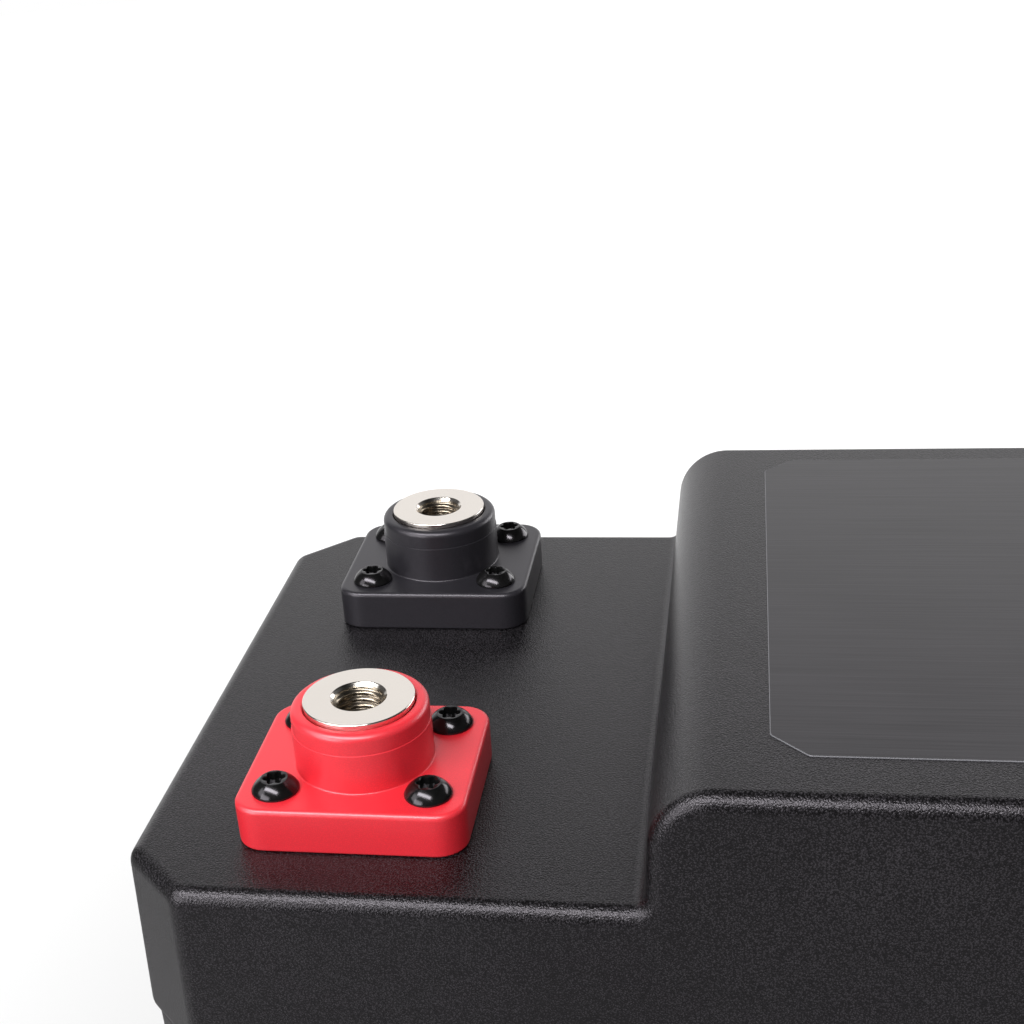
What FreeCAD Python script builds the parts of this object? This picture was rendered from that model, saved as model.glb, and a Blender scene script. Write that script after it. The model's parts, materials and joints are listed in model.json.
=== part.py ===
"""Long 12.8 V lithium iron phosphate battery: stepped lid, two screwed-on terminal blocks and the cell pack.

Millimetres. X runs along the case, with the terminal deck at the low end. Y runs across it, with the
positive terminal at the low side. Z is up. The origin is the middle of the flat base.
"""
import FreeCAD, Part
import math
import os

V = FreeCAD.Vector

# Cells: eight sealed prismatic cans in a row, pairs in parallel, four pairs in series
cell_count = 8
cell_thickness = 36.7
cell_width = 130.3
cell_height = 197.5
cell_edge_cut = 2.0
cell_terminal_spacing = 80.0
cell_terminal_length = 24.0
cell_terminal_width = 16.0
cell_terminal_height = 3.0
cell_vent_length = 20.0
cell_vent_width = 9.0
cell_vent_depth = 0.6
cell_gap = 1.0

# Clamping of the row of cells
end_plate_thickness = 8.0
end_plate_drop = 5.0
end_plate_edge_cut = 2.0
end_plate_pocket_depth = 3.0
end_plate_pocket_margin = 14.0
end_plate_web = 14.0
end_sheet_thickness = 1.0
band_thickness = 0.6
band_height = 16.0
band_low_share = 0.28
band_high_share = 0.74

# Soft pads round the row
base_pad_thickness = 3.0
side_pad_thickness = 3.5
end_pad_thickness = 6.0
left_end_pad_height = 50.0
right_end_pad_height = 100.0
top_pad_thickness = 22.3
top_pad_width = 34.0
pad_edge_margin = 5.0

# Busbar frame and cover on top of the cells
frame_wall = 2.0
frame_hole_clearance = 0.3
frame_vent_margin = 3.0
frame_lane_half = 10.0
cover_thickness = 2.0
cover_air = 1.0

# Copper
bar_thickness = 3.0
bar_bend_radius = 3.0
bar_landing = 20.0
bar_slope_run = 3.0
link_width = 24.0
link_overhang = 11.0
link_corner_cut = 3.0
return_bar_width = 22.0
bar_slot_clearance = 1.0

# Lower case
case_wall = 4.0
case_floor = 5.0
case_draft = 0.4
case_foot_cut = 2.0
side_rib_depth = 6.45
end_rib_depth = 2.2
rib_thickness = 3.0
side_rib_count = 6
end_rib_count = 3
cross_rib_height = 58.0
left_bay = 135.6
rim_inset = 1.5
rim_width = 7.1
rim_height = 12.0
channel_wall = 2.0
channel_width = 2.8
channel_depth = 6.0

# Lid
lid_wall = 3.2
lid_draft = 2.0
lid_skirt = 40.8
seam_gap = 2.0
step_height = 25.0
step_draft = 2.0
step_top_radius = 12.0
step_foot_radius = 2.6
corner_chamfer = 14.4
corner_round = 5.0
lid_edge_radius = 2.4
lid_lip_cut = 1.6
lid_rim_margin = 0.6
lid_rim_height = 6.0
tongue_clearance = 0.3
sealant_height = 2.0
skirt_rib_count = 5
skirt_rib_depth = 3.0
gusset_size = 16.0

# Terminal deck
deck_margin_left = 21.8
deck_margin_right = 34.5
deck_margin_side = 14.25

# Terminal blocks
block_length = 46.0
block_depth = 41.4
block_height = 9.5
block_corner_radius = 6.0
block_boss_diameter = 28.0
block_boss_height = 12.9
block_screw_inset = 7.75
gasket_width = 3.0
gasket_corner_cut = 5.0
gasket_thickness = 1.5

# Terminal posts
post_ring_diameter = 22.4
post_ring_height = 4.0
post_ring_proud = 1.0
post_body_diameter = 18.0
post_below_lid = 9.8
post_clearance = 0.2
tap_bore_diameter = 8.5
tap_bore_depth = 16.0
tap_chamfer_diameter = 11.4
lower_bore_diameter = 6.8
lower_bore_depth = 11.0

# Screws in the terminal blocks, and their inserts in the lid
screw_diameter = 5.0
screw_length = 16.0
screw_head_diameter = 9.5
screw_head_height = 2.75
screw_hole_clearance = 0.25
thread_clearance = 0.1
insert_across_flats = 7.0
insert_length = 8.0
insert_boss_wall = 2.0
boss_floor = 1.0
boss_web = 2.5

# Bolts under the posts
post_bolt_diameter = 8.0
post_bolt_grip = 9.0
post_bolt_head_flats = 13.0
post_bolt_head_height = 5.3
bolt_hole_clearance = 0.5

# Battery management unit on the left end plate
unit_height = 110.0
unit_top_gap = 13.0
unit_corner_cut = 4.0
tray_wall = 2.0
tray_ledge = 3.0
tray_clearance = 0.3
sink_gap = 6.0
sink_plate = 4.0
sink_fin_height = 5.0
sink_fin_thickness = 1.5
sink_fin_count = 9
board_thickness = 1.6
board_gap = 5.0
ear_width = 9.0
ear_height = 16.0
unit_stud_diameter = 4.0
unit_stud_beyond_nut = 1.0
unit_nut_flats = 7.0
unit_nut_height = 3.2
pad_block_size = 15.0
pad_block_thickness = 4.0
pad_drop = 24.0
unit_bolt_diameter = 6.0
unit_bolt_head_flats = 10.0
unit_bolt_head_height = 4.0
component_margin = 6.0
transistor_columns = 8
transistor_rows = 2
transistor_width = 9.0
transistor_height = 10.0
transistor_thickness = 4.5
capacitor_count = 3
capacitor_spacing = 24.0
capacitor_length = 18.0
capacitor_width = 8.0
capacitor_height = 7.0

# Cell sensing
sense_width = 8.0
sense_thickness = 0.4
sense_lane = 20.0
sense_tab_width = 5.0
sense_tab_gap = 0.3
sense_start_gap = 4.0
connector_length = 14.0
connector_height = 12.0
connector_depth = 8.0
connector_shell = 1.0
connector_drop = 4.5

# Bare film on the plateau
label_thickness = 0.2
label_left_margin = 21.7
label_right_margin = 16.0
label_front_margin = 13.8
label_back_margin = 10.0
label_corner = 6.8


def tan_deg(angle):
    return math.tan(math.radians(angle))


# Heights
cell_z = case_floor + base_pad_thickness
cell_top_z = cell_z + cell_height
link_z = cell_top_z + cell_terminal_height
link_top_z = link_z + bar_thickness
cover_z = link_top_z + cover_air
return_bar_z = cover_z + cover_thickness
overall_height = return_bar_z + top_pad_thickness + lid_wall
deck_z = overall_height - step_height
lid_edge_z = deck_z - lid_skirt
case_top_z = lid_edge_z - seam_gap
rim_low_z = case_top_z - rim_height
flare_z = rim_low_z - (rim_width - case_wall)
deck_under_z = deck_z - lid_wall
post_bottom_z = deck_under_z - post_below_lid
block_top_z = deck_z + block_height
ring_top_z = block_top_z + block_boss_height + post_ring_proud
ring_z = ring_top_z - post_ring_height

# Lengths
cells_length = cell_count * cell_thickness + (cell_count - 1) * cell_gap
row_length = cells_length + 2 * (end_plate_thickness + end_sheet_thickness)
case_growth = case_top_z * tan_deg(case_draft)
lid_margin = case_wall + case_growth + rim_inset
inner_length = left_bay + 2 * (end_pad_thickness + band_thickness) + row_length + end_rib_depth
inner_width = cell_width + 2 * (band_thickness + side_pad_thickness + side_rib_depth)
lid_length = inner_length + 2 * lid_margin
lid_width = inner_width + 2 * lid_margin
row_left = -inner_length / 2 + left_bay + end_pad_thickness + band_thickness
row_right = row_left + row_length
cells_left = row_left + end_plate_thickness + end_sheet_thickness
cell_pitch = cell_thickness + cell_gap

# Terminal deck
deck_inset = lid_skirt * tan_deg(lid_draft)
deck_left_x = -lid_length / 2 + deck_inset
terminal_x = deck_left_x + deck_margin_left + block_length / 2
step_x = terminal_x + block_length / 2 + deck_margin_right
terminal_y = lid_width / 2 - deck_inset - deck_margin_side - block_depth / 2
post_hole = post_body_diameter + 2 * post_clearance
cell_terminal_y = cell_terminal_spacing / 2

# Battery management unit
unit_half = terminal_y + pad_block_size / 2 + tray_wall + tray_clearance
unit_top_z = cell_top_z - unit_top_gap
unit_low_z = unit_top_z - unit_height
ear_y = unit_half + ear_width / 2
ear_z = (unit_low_z + unit_top_z) / 2
sink_right_x = row_left - sink_gap
sink_left_x = sink_right_x - sink_plate
board_right_x = sink_left_x - board_gap
board_left_x = board_right_x - board_thickness
pad_left_x = board_left_x - pad_block_thickness
pad_z = unit_top_z - pad_drop
capacitor_z = unit_low_z + tray_wall + component_margin


def rounded_wire(points, radii, place):
    """Closed outline through the points, with an arc of the given radius at each. place turns (u, v) into 3D."""
    starts, mids, ends = [], [], []
    for i, (u, v) in enumerate(points):
        here = V(u, v, 0)
        back = V(*points[i - 1], 0) - here
        ahead = V(*points[(i + 1) % len(points)], 0) - here
        half = back.getAngle(ahead) / 2
        reach = radii[i] / math.tan(half)
        back.normalize()
        ahead.normalize()
        inward = back + ahead
        inward.normalize()
        middle = here + inward * (radii[i] / math.sin(half) - radii[i])
        starts.append(here + back * reach)
        mids.append(middle)
        ends.append(here + ahead * reach)
    edges = []
    for i in range(len(points)):
        if radii[i] > 0:
            edges.append(Part.Arc(place(starts[i]), place(mids[i]), place(ends[i])).toShape())
        following = starts[(i + 1) % len(points)]
        if (following - ends[i]).Length > 1e-6:
            edges.append(Part.makeLine(place(ends[i]), place(following)))
    return Part.Wire(edges)


def flat_solid(points, radii, z, height):
    """Prism of a rounded outline in plan."""
    wire = rounded_wire(points, radii, lambda p: V(p.x, p.y, z))
    return Part.Face(wire).extrude(V(0, 0, height))


def rounded_box(x0, x1, y0, y1, z0, z1, radius):
    """Box with rounded upright edges."""
    points = [(x0, y0), (x1, y0), (x1, y1), (x0, y1)]
    return flat_solid(points, [radius] * len(points), z0, z1 - z0)


def cut_rectangle(x0, x1, y0, y1, cut):
    """Corners of a rectangle whose four corners are cut off at 45 degrees."""
    return [(x1 - cut, y0), (x1, y0 + cut), (x1, y1 - cut), (x1 - cut, y1),
            (x0 + cut, y1), (x0, y1 - cut), (x0, y0 + cut), (x0 + cut, y0)]


def cut_after(cut, growth):
    """Corner cut of such a rectangle once every side has moved outward by growth."""
    return cut + growth * (2 - math.sqrt(2))


def cut_box(x0, x1, y0, y1, z0, z1, cut):
    """Box with its upright edges cut off at 45 degrees."""
    points = cut_rectangle(x0, x1, y0, y1, cut)
    return flat_solid(points, [0] * len(points), z0, z1 - z0)


def box(x0, x1, y0, y1, z0, z1):
    return Part.makeBox(x1 - x0, y1 - y0, z1 - z0, V(x0, y0, z0))


def cylinder(diameter, x, y, z0, z1):
    return Part.makeCylinder(diameter / 2, z1 - z0, V(x, y, z0))


def x_cylinder(diameter, x0, x1, y, z):
    return Part.makeCylinder(diameter / 2, x1 - x0, V(x0, y, z), V(1, 0, 0))


def turned(profile, x, y):
    """Solid of revolution about an upright axis, from (radius, height) points."""
    points = [V(x + r, y, z) for r, z in profile]
    face = Part.Face(Part.makePolygon(points + points[:1]))
    return face.revolve(V(x, y, 0), V(0, 0, 1), 360)


def hexagon(flats, place, direction, height):
    """Hexagonal prism from its centre point along a direction, X or Z."""
    radius = flats / math.sqrt(3)
    corners = []
    for i in range(7):
        a = math.radians(60 * i)
        u, v = radius * math.cos(a), radius * math.sin(a)
        corners.append(place + (V(u, v, 0) if direction.z else V(0, u, v)))
    return Part.Face(Part.makePolygon(corners)).extrude(direction * height)


def strip(path, thickness, radius, across, low, high):
    """Bent strip of one thickness. path holds (u, z) points; across is 'x' or 'y', the way it is wide."""
    sides = [[], []]
    bends = [[], []]
    for i, (u, z) in enumerate(path):
        here = V(u, z, 0)
        before = here - V(*path[i - 1], 0) if i else None
        after = V(*path[i + 1], 0) - here if i < len(path) - 1 else None
        first = before or after
        last = after or before
        n1 = V(-first.y, first.x, 0)
        n2 = V(-last.y, last.x, 0)
        n1.normalize()
        n2.normalize()
        normal = n1 + n2
        normal.normalize()
        offset = normal * (thickness / 2 / normal.dot(n1))
        turn = first.cross(last).z
        for side, sign in ((0, 1), (1, -1)):
            point = here + offset * sign
            sides[side].append((point.x, point.y))
            inner = turn * sign > 0
            bend = radius + thickness * (0 if inner else 1)
            bends[side].append(bend if abs(turn) > 1e-9 else 0)
    points = sides[0] + sides[1][::-1]
    radii = bends[0] + bends[1][::-1]
    if across == "y":
        wire = rounded_wire(points, radii, lambda p: V(p.x, low, p.y))
        return Part.Face(wire).extrude(V(0, high - low, 0))
    wire = rounded_wire(points, radii, lambda p: V(low, p.x, p.y))
    return Part.Face(wire).extrude(V(high - low, 0, 0))


def evenly(low, high, count):
    """Places of count things spread evenly between two ends, with half a space at each end."""
    return [low + (high - low) * (i + 0.5) / count for i in range(count)]


def group(solids):
    return Part.makeCompound(solids)


# Housing outlines

def plan_points(offset):
    """Corners of the housing's plan, a rectangle with four cut corners, moved inward from the lid's lower edge."""
    a = lid_length / 2 - offset
    b = lid_width / 2 - offset
    return cut_rectangle(-a, a, -b, b, cut_after(corner_chamfer, -offset))


def plan_prism(offset, z0, z1):
    """Straight prism of the plan."""
    points = plan_points(offset)
    return flat_solid(points, [0] * len(points), z0, z1 - z0)


def plan_taper(offset0, z0, offset1, z1):
    """Solid with flat drafted sides between the plan at one height and the plan at another."""
    low = [V(x, y, z0) for x, y in plan_points(offset0)]
    high = [V(x, y, z1) for x, y in plan_points(offset1)]
    sides = [[low[i - 1], low[i], high[i], high[i - 1]] for i in range(len(low))]
    faces = [Part.Face(Part.makePolygon(ring + ring[:1])) for ring in [low[::-1], high] + sides]
    return Part.makeSolid(Part.makeShell(faces))


def housing_body(offset0, z0, offset1, z1, foot_cut):
    """Drafted body with rounded upright corners and a bevel round its foot."""
    body = plan_taper(offset0, z0, offset1, z1)
    corners = [e for e in body.Edges if abs(e.Vertexes[0].Z - e.Vertexes[1].Z) > corner_round]
    body = body.makeFillet(corner_round, corners)
    foot = [e for e in body.Edges if max(v.Z for v in e.Vertexes) < z0 + foot_cut / 2]
    return body.makeChamfer(foot_cut, foot)


def lid_offset(z):
    return (z - lid_edge_z) * tan_deg(lid_draft)


def stepped_block(inset, z0):
    """The lid's long profile, carried across its whole width and past both ends."""
    reach = lid_length
    top = overall_height - inset
    deck = deck_z - inset
    foot = step_x + inset
    head = foot + (top - deck) * tan_deg(step_draft)
    points = [(-reach, z0), (reach, z0), (reach, top), (head, top), (foot, deck), (-reach, deck)]
    radii = [0, 0, 0, step_top_radius - inset, step_foot_radius + inset, 0]
    wire = rounded_wire(points, radii, lambda p: V(p.x, -lid_width, p.y))
    return Part.Face(wire).extrude(V(0, 2 * lid_width, 0))


def on_wall(edge):
    """True if an edge of the lid runs round its top, where the deck, step or plateau meets the walls."""
    if min(v.Z for v in edge.Vertexes) < deck_z - lid_edge_radius:
        return False
    middle = edge.valueAt((edge.FirstParameter + edge.LastParameter) / 2)
    offset = lid_offset(middle.z)
    a = lid_length / 2 - offset
    b = lid_width / 2 - offset
    c = cut_after(corner_chamfer, -offset)
    inside = min(a - abs(middle.x), b - abs(middle.y), (a + b - c - abs(middle.x) - abs(middle.y)) / math.sqrt(2))
    return inside < lid_edge_radius / 4


def terminal_places():
    return [(terminal_x, -terminal_y), (terminal_x, terminal_y)]


def screw_places(y):
    dx = block_length / 2 - block_screw_inset
    dy = block_depth / 2 - block_screw_inset
    return [(terminal_x + sx * dx, y + sy * dy) for sx in (-1, 1) for sy in (-1, 1)]


def insert_body(x, y):
    return hexagon(insert_across_flats, V(x, y, deck_z - insert_length), V(0, 0, 1), insert_length)


def lid():
    """Drafted shell with a stepped top, a drawn-in lower lip and a tongue that enters the case's channel."""
    body = housing_body(0, lid_edge_z, lid_offset(overall_height), overall_height, lid_lip_cut)
    body = body.common(stepped_block(0, lid_edge_z))
    body = body.makeFillet(lid_edge_radius, [e for e in body.Edges if on_wall(e)])

    rim = rim_inset + channel_wall + channel_width - tongue_clearance + lid_rim_margin
    shoulder_z = lid_edge_z + lid_rim_height
    hollow = plan_taper(lid_wall + lid_offset(shoulder_z), shoulder_z,
                        lid_wall + lid_offset(overall_height), overall_height)
    hollow = hollow.common(stepped_block(lid_wall, shoulder_z))
    hollow = hollow.fuse(plan_prism(rim, lid_edge_z, shoulder_z))
    body = body.cut(hollow.cut(lid_inner_ribs()))

    tip_z = case_top_z - channel_depth + sealant_height
    near = rim_inset + channel_wall + tongue_clearance
    far = rim_inset + channel_wall + channel_width - tongue_clearance
    tongue = plan_prism(near, tip_z, shoulder_z).cut(plan_prism(far, tip_z, shoulder_z))
    body = body.fuse(tongue)

    holes = []
    for x, y in terminal_places():
        holes.append(cylinder(post_hole, x, y, post_bottom_z, deck_z))
        holes.extend([insert_body(sx, sy) for sx, sy in screw_places(y)])
    return body.cut(holes).removeSplitter()


def lid_inner_ribs():
    """What stands inside the lid: webbed bosses under the deck and gussets behind the step."""
    boss_z = deck_z - insert_length - boss_floor
    dx = block_length / 2 - block_screw_inset
    dy = block_depth / 2 - block_screw_inset
    sleeve = post_hole / 2 + insert_boss_wall
    boss = insert_across_flats / math.sqrt(3) + insert_boss_wall
    web = boss_web / 2
    ribs = []
    for x, y in terminal_places():
        ribs.append(box(x - sleeve, x + sleeve, y - sleeve, y + sleeve, boss_z, deck_z))
        for sx, sy in screw_places(y):
            ribs.append(box(sx - boss, sx + boss, sy - boss, sy + boss, boss_z, deck_z))
        for side in (-1, 1):
            ribs.append(box(x - dx, x + dx, y + side * dy - web, y + side * dy + web, boss_z, deck_z))
            ribs.append(box(x + side * dx - web, x + side * dx + web, y - dy, y + dy, boss_z, deck_z))
    under = overall_height - lid_wall
    corner_x = step_x + lid_wall
    for y in (-terminal_y, -sense_lane, sense_lane, terminal_y):
        points = [V(step_x, y - web, overall_height), V(corner_x + gusset_size, y - web, overall_height),
                  V(corner_x + gusset_size, y - web, under), V(corner_x, y - web, under - gusset_size),
                  V(step_x, y - web, under - gusset_size)]
        ribs.append(Part.Face(Part.makePolygon(points + points[:1])).extrude(V(0, boss_web, 0)))
    return ribs


def lower_case():
    """Drafted tub with a bevelled foot, inner ribs and a thick rim that carries the sealing channel."""
    slope = tan_deg(case_draft)
    body = housing_body(rim_inset + case_growth, 0, rim_inset, case_top_z, case_foot_cut)
    low_offset = rim_inset + case_wall + (case_top_z - case_floor) * slope
    flare_offset = rim_inset + case_wall + (case_top_z - flare_z) * slope
    rim_offset = rim_inset + rim_width
    hollow = plan_taper(low_offset, case_floor, flare_offset, flare_z)
    hollow = hollow.fuse(plan_taper(flare_offset, flare_z, rim_offset, rim_low_z))
    hollow = hollow.fuse(plan_prism(rim_offset, rim_low_z, case_top_z))
    hollow = hollow.cut(case_inner_ribs())
    return body.cut([hollow, channel_ring(channel_depth)]).removeSplitter()


def channel_ring(height):
    """Ring that fills the sealing channel from its floor up to the given height."""
    z = case_top_z - channel_depth
    near = rim_inset + channel_wall
    return plan_prism(near, z, z + height).cut(plan_prism(near + channel_width, z, z + height))


def case_inner_ribs():
    """Upright ribs that locate the row of cells, and the low cross rib at its left end."""
    face_y = cell_width / 2 + band_thickness + side_pad_thickness
    face_x = row_right + band_thickness + end_pad_thickness
    ribs = []
    for x in evenly(row_left, row_right, side_rib_count):
        for side in (-1, 1):
            low, high = sorted((side * face_y, side * lid_width / 2))
            ribs.append(box(x - rib_thickness / 2, x + rib_thickness / 2, low, high, 0, rim_low_z))
    for y in evenly(-cell_width / 2, cell_width / 2, end_rib_count):
        ribs.append(box(face_x, lid_length / 2, y - rib_thickness / 2, y + rib_thickness / 2, 0, rim_low_z))
    left = row_left - band_thickness - end_pad_thickness - rib_thickness
    ribs.append(box(left, left + rib_thickness, -lid_width / 2, lid_width / 2, 0, case_floor + cross_rib_height))
    return ribs


def rim_sealant():
    """Bead in the case's channel that the lid's tongue is bonded into."""
    return channel_ring(sealant_height)


def top_label():
    """Bare film with cut corners on the plateau."""
    half = lid_width / 2 - lid_offset(overall_height)
    return cut_box(step_x + label_left_margin, lid_length / 2 - lid_offset(overall_height) - label_right_margin,
                   label_front_margin - half, half - label_back_margin,
                   overall_height, overall_height + label_thickness, label_corner)


# Terminals

def gasket_outline(x, y):
    half = post_hole / 2 + gasket_width
    return cut_box(x - half, x + half, y - half, y + half, deck_z, deck_z + gasket_thickness, gasket_corner_cut)


def terminal_block(y):
    """Rounded plate with a round boss that houses the post."""
    x = terminal_x
    hx, hy = block_length / 2, block_depth / 2
    boss_top = block_top_z + block_boss_height
    plate = rounded_box(x - hx, x + hx, y - hy, y + hy, deck_z, block_top_z, block_corner_radius)
    boss = cylinder(block_boss_diameter, x, y, deck_z, boss_top)
    cuts = [cylinder(post_ring_diameter, x, y, ring_z, boss_top),
            cylinder(post_hole, x, y, deck_z, ring_z),
            gasket_outline(x, y)]
    for sx, sy in screw_places(y):
        cuts.append(cylinder(screw_diameter + 2 * screw_hole_clearance, sx, sy, deck_z, block_top_z))
    return plate.fuse(boss).cut(cuts).removeSplitter()


def terminal_post(x, y):
    """Plated post: wide contact ring, tapped from above for the cable bolt and from below for the busbar."""
    r_ring, r_body = post_ring_diameter / 2, post_body_diameter / 2
    r_tap, r_mouth, r_low = tap_bore_diameter / 2, tap_chamfer_diameter / 2, lower_bore_diameter / 2
    tap_z = ring_top_z - tap_bore_depth
    low_z = post_bottom_z + lower_bore_depth
    profile = [(0, low_z), (r_low, low_z), (r_low, post_bottom_z), (r_body, post_bottom_z),
               (r_body, ring_z), (r_ring, ring_z), (r_ring, ring_top_z), (r_mouth, ring_top_z),
               (r_tap, ring_top_z - (r_mouth - r_tap)), (r_tap, tap_z), (0, tap_z)]
    return turned(profile, x, y)


def block_screws():
    """Screws whose low round heads sit on the blocks."""
    solids = []
    for x, y in terminal_places():
        for sx, sy in screw_places(y):
            shank = cylinder(screw_diameter, sx, sy, block_top_z - screw_length, block_top_z)
            head = cylinder(screw_head_diameter, sx, sy, block_top_z, block_top_z + screw_head_height)
            solids.append(shank.fuse(head))
    return group(solids)


def lid_screw_inserts():
    """Hexagonal threaded sleeves moulded into the lid's bosses."""
    solids = []
    for x, y in terminal_places():
        for sx, sy in screw_places(y):
            bore = cylinder(screw_diameter + 2 * thread_clearance, sx, sy, deck_z - insert_length, deck_z)
            solids.append(insert_body(sx, sy).cut(bore))
    return group(solids)


def block_gaskets():
    return group([gasket_outline(x, y).cut(cylinder(post_hole, x, y, deck_z, deck_z + gasket_thickness))
                  for x, y in terminal_places()])


def post_bolts():
    """Hexagon bolts that clamp the busbars to the undersides of the posts."""
    solids = []
    under = post_bottom_z - bar_thickness
    for x, y in terminal_places():
        shank = cylinder(lower_bore_diameter - 2 * thread_clearance, x, y, under, under + post_bolt_grip)
        head = hexagon(post_bolt_head_flats, V(x, y, under - post_bolt_head_height), V(0, 0, 1),
                       post_bolt_head_height)
        solids.append(shank.fuse(head))
    return group(solids)


# Cells and their clamping

def cell_x(i):
    return cells_left + i * cell_pitch + cell_thickness / 2


def cell(i):
    """Sealed can with two flat welding terminals and a vent between them."""
    x = cell_x(i)
    half = cell_thickness / 2
    vent_x, vent_y = cell_vent_width / 2, cell_vent_length / 2
    body = cut_box(x - half, x + half, -cell_width / 2, cell_width / 2, cell_z, cell_top_z, cell_edge_cut)
    body = body.cut(cut_box(x - vent_x, x + vent_x, -vent_y, vent_y, cell_top_z - cell_vent_depth, cell_top_z,
                            cell_vent_width / 3))
    return body.fuse([terminal_pad(x, side, 0) for side in (-1, 1)])


def terminal_pad(x, side, growth):
    """A cell's raised terminal, or the space round it when growth is its clearance."""
    half_x = cell_terminal_width / 2 + growth
    half_y = cell_terminal_length / 2 + growth
    y = side * cell_terminal_y
    return box(x - half_x, x + half_x, y - half_y, y + half_y, cell_top_z, link_z)


def cell_spacers():
    """Thin boards between the cans, and the insulating sheets against the end plates."""
    solids = []
    faces = [cell_x(i) + cell_thickness / 2 for i in range(cell_count - 1)]
    for x in faces:
        solids.append(box(x, x + cell_gap, -cell_width / 2, cell_width / 2, cell_z, cell_top_z))
    for x in (cells_left - end_sheet_thickness, cells_left + cells_length):
        solids.append(box(x, x + end_sheet_thickness, -cell_width / 2, cell_width / 2, cell_z, cell_top_z))
    return group(solids)


def end_plate(x0, outer_side):
    """Pressed plate with two pockets in its outer face, between the bands."""
    x1 = x0 + end_plate_thickness
    half = cell_width / 2
    plate = cut_box(x0, x1, -half, half, cell_z, cell_top_z - end_plate_drop, end_plate_edge_cut)
    low = cell_z + band_low_share * cell_height + band_height
    high = cell_z + band_high_share * cell_height - band_height
    face = x0 if outer_side < 0 else x1 - end_plate_pocket_depth
    web = end_plate_web / 2
    outer = half - end_plate_pocket_margin
    for y0, y1 in ((-outer, -web), (web, outer)):
        plate = plate.cut(box(face, face + end_plate_pocket_depth, y0, y1, low, high))
    return plate


def ear_places():
    return [-ear_y, ear_y]


def left_end_plate():
    """The end plate that also carries two studs for the management unit."""
    tip = sink_left_x - unit_nut_height - unit_stud_beyond_nut
    studs = [x_cylinder(unit_stud_diameter, tip, row_left, y, ear_z) for y in ear_places()]
    return end_plate(row_left, -1).fuse(studs)


def pack_bands():
    """Two steel bands round the end plates and cells."""
    solids = []
    half = cell_width / 2
    t = band_thickness
    for share in (band_low_share, band_high_share):
        z0 = cell_z + share * cell_height - band_height / 2
        z1 = z0 + band_height
        outer = cut_box(row_left - t, row_right + t, -half - t, half + t, z0, z1, cut_after(end_plate_edge_cut, t))
        solids.append(outer.cut(cut_box(row_left, row_right, -half, half, z0, z1, end_plate_edge_cut)))
    return group(solids)


def base_pad():
    return box(row_left, row_right, -cell_width / 2, cell_width / 2, case_floor, cell_z)


def side_pads():
    solids = []
    inner = cell_width / 2 + band_thickness
    for side in (-1, 1):
        low, high = sorted((side * inner, side * (inner + side_pad_thickness)))
        solids.append(box(row_left + pad_edge_margin, row_right - pad_edge_margin, low, high, case_floor, flare_z))
    return group(solids)


def end_pads():
    """Left pad rests against the cross rib, right pad against the upright ribs of the end wall."""
    half = cell_width / 2 - pad_edge_margin
    left = row_left - band_thickness - end_pad_thickness
    right = row_right + band_thickness
    return group([box(left, left + end_pad_thickness, -half, half, case_floor, case_floor + left_end_pad_height),
                  box(right, right + end_pad_thickness, -half, half, case_floor, case_floor + right_end_pad_height)])


def top_pads():
    """Foam between the cover board and the plateau, one strip each side of the return bar."""
    solids = []
    inner = return_bar_width / 2 + pad_edge_margin
    for side in (-1, 1):
        low, high = sorted((side * inner, side * (inner + top_pad_width)))
        solids.append(box(cell_x(1), cell_x(cell_count - 3), low, high, return_bar_z, overall_height - lid_wall))
    return group(solids)


# Connections on top of the cells

def busbar_frame():
    """Moulded tray on the cells: holes for the terminals and vents, and walls that carry the cover board."""
    x0, x1 = row_left, row_right
    half = cell_width / 2
    body = box(x0, x1, -half, half, cell_top_z, cover_z)
    inside_x0, inside_x1 = x0 + frame_wall, x1 - frame_wall
    lane = frame_lane_half
    web = frame_wall / 2
    cuts = []
    for y0, y1 in ((-half + frame_wall, -lane - web), (-lane + web, lane - web), (lane + web, half - frame_wall)):
        cuts.append(box(inside_x0, inside_x1, y0, y1, link_z, cover_z))
    reach = cell_vent_width / 2 + frame_vent_margin
    for i in range(cell_count):
        x = cell_x(i)
        cuts.extend([terminal_pad(x, side, frame_hole_clearance) for side in (-1, 1)])
        cuts.append(box(x - reach, x + reach, frame_wall - lane, lane - frame_wall, cell_top_z, link_z))
    reach = positive_bar_width() / 2 + bar_slot_clearance
    cuts.append(box(x0, inside_x0, positive_bar_centre() - reach, positive_bar_centre() + reach,
                    link_z - bar_slot_clearance, cover_z))
    reach = sense_width / 2 + bar_slot_clearance
    for y in (-sense_lane, sense_lane):
        cuts.append(box(x0, inside_x0, y - reach, y + reach, link_z, cover_z))
    return body.cut(cuts)


def cover_board():
    """Insulating board over the links, with a slot where the negative riser comes up."""
    board = box(row_left, row_right, -cell_width / 2, cell_width / 2, cover_z, return_bar_z)
    reach = bar_thickness / 2 + bar_slot_clearance
    x0, x1 = riser_span()
    return board.cut(box(x0 - bar_slot_clearance, x1 + bar_slot_clearance, riser_y() - reach, riser_y() + reach,
                         cover_z, return_bar_z))


def cell_links():
    """Flat bars, welded on the terminals, that join two parallel cells to the next two."""
    solids = []
    for k in range(cell_count // 2 - 1):
        y = cell_terminal_y if k % 2 == 0 else -cell_terminal_y
        solids.append(cut_box(cell_x(2 * k) - link_overhang, cell_x(2 * k + 3) + link_overhang,
                              y - link_width / 2, y + link_width / 2, link_z, link_top_z, link_corner_cut))
    return group(solids)


def post_bolt_hole(x, y):
    return cylinder(post_bolt_diameter + bolt_hole_clearance, x, y, post_bottom_z - bar_thickness, post_bottom_z)


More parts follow.
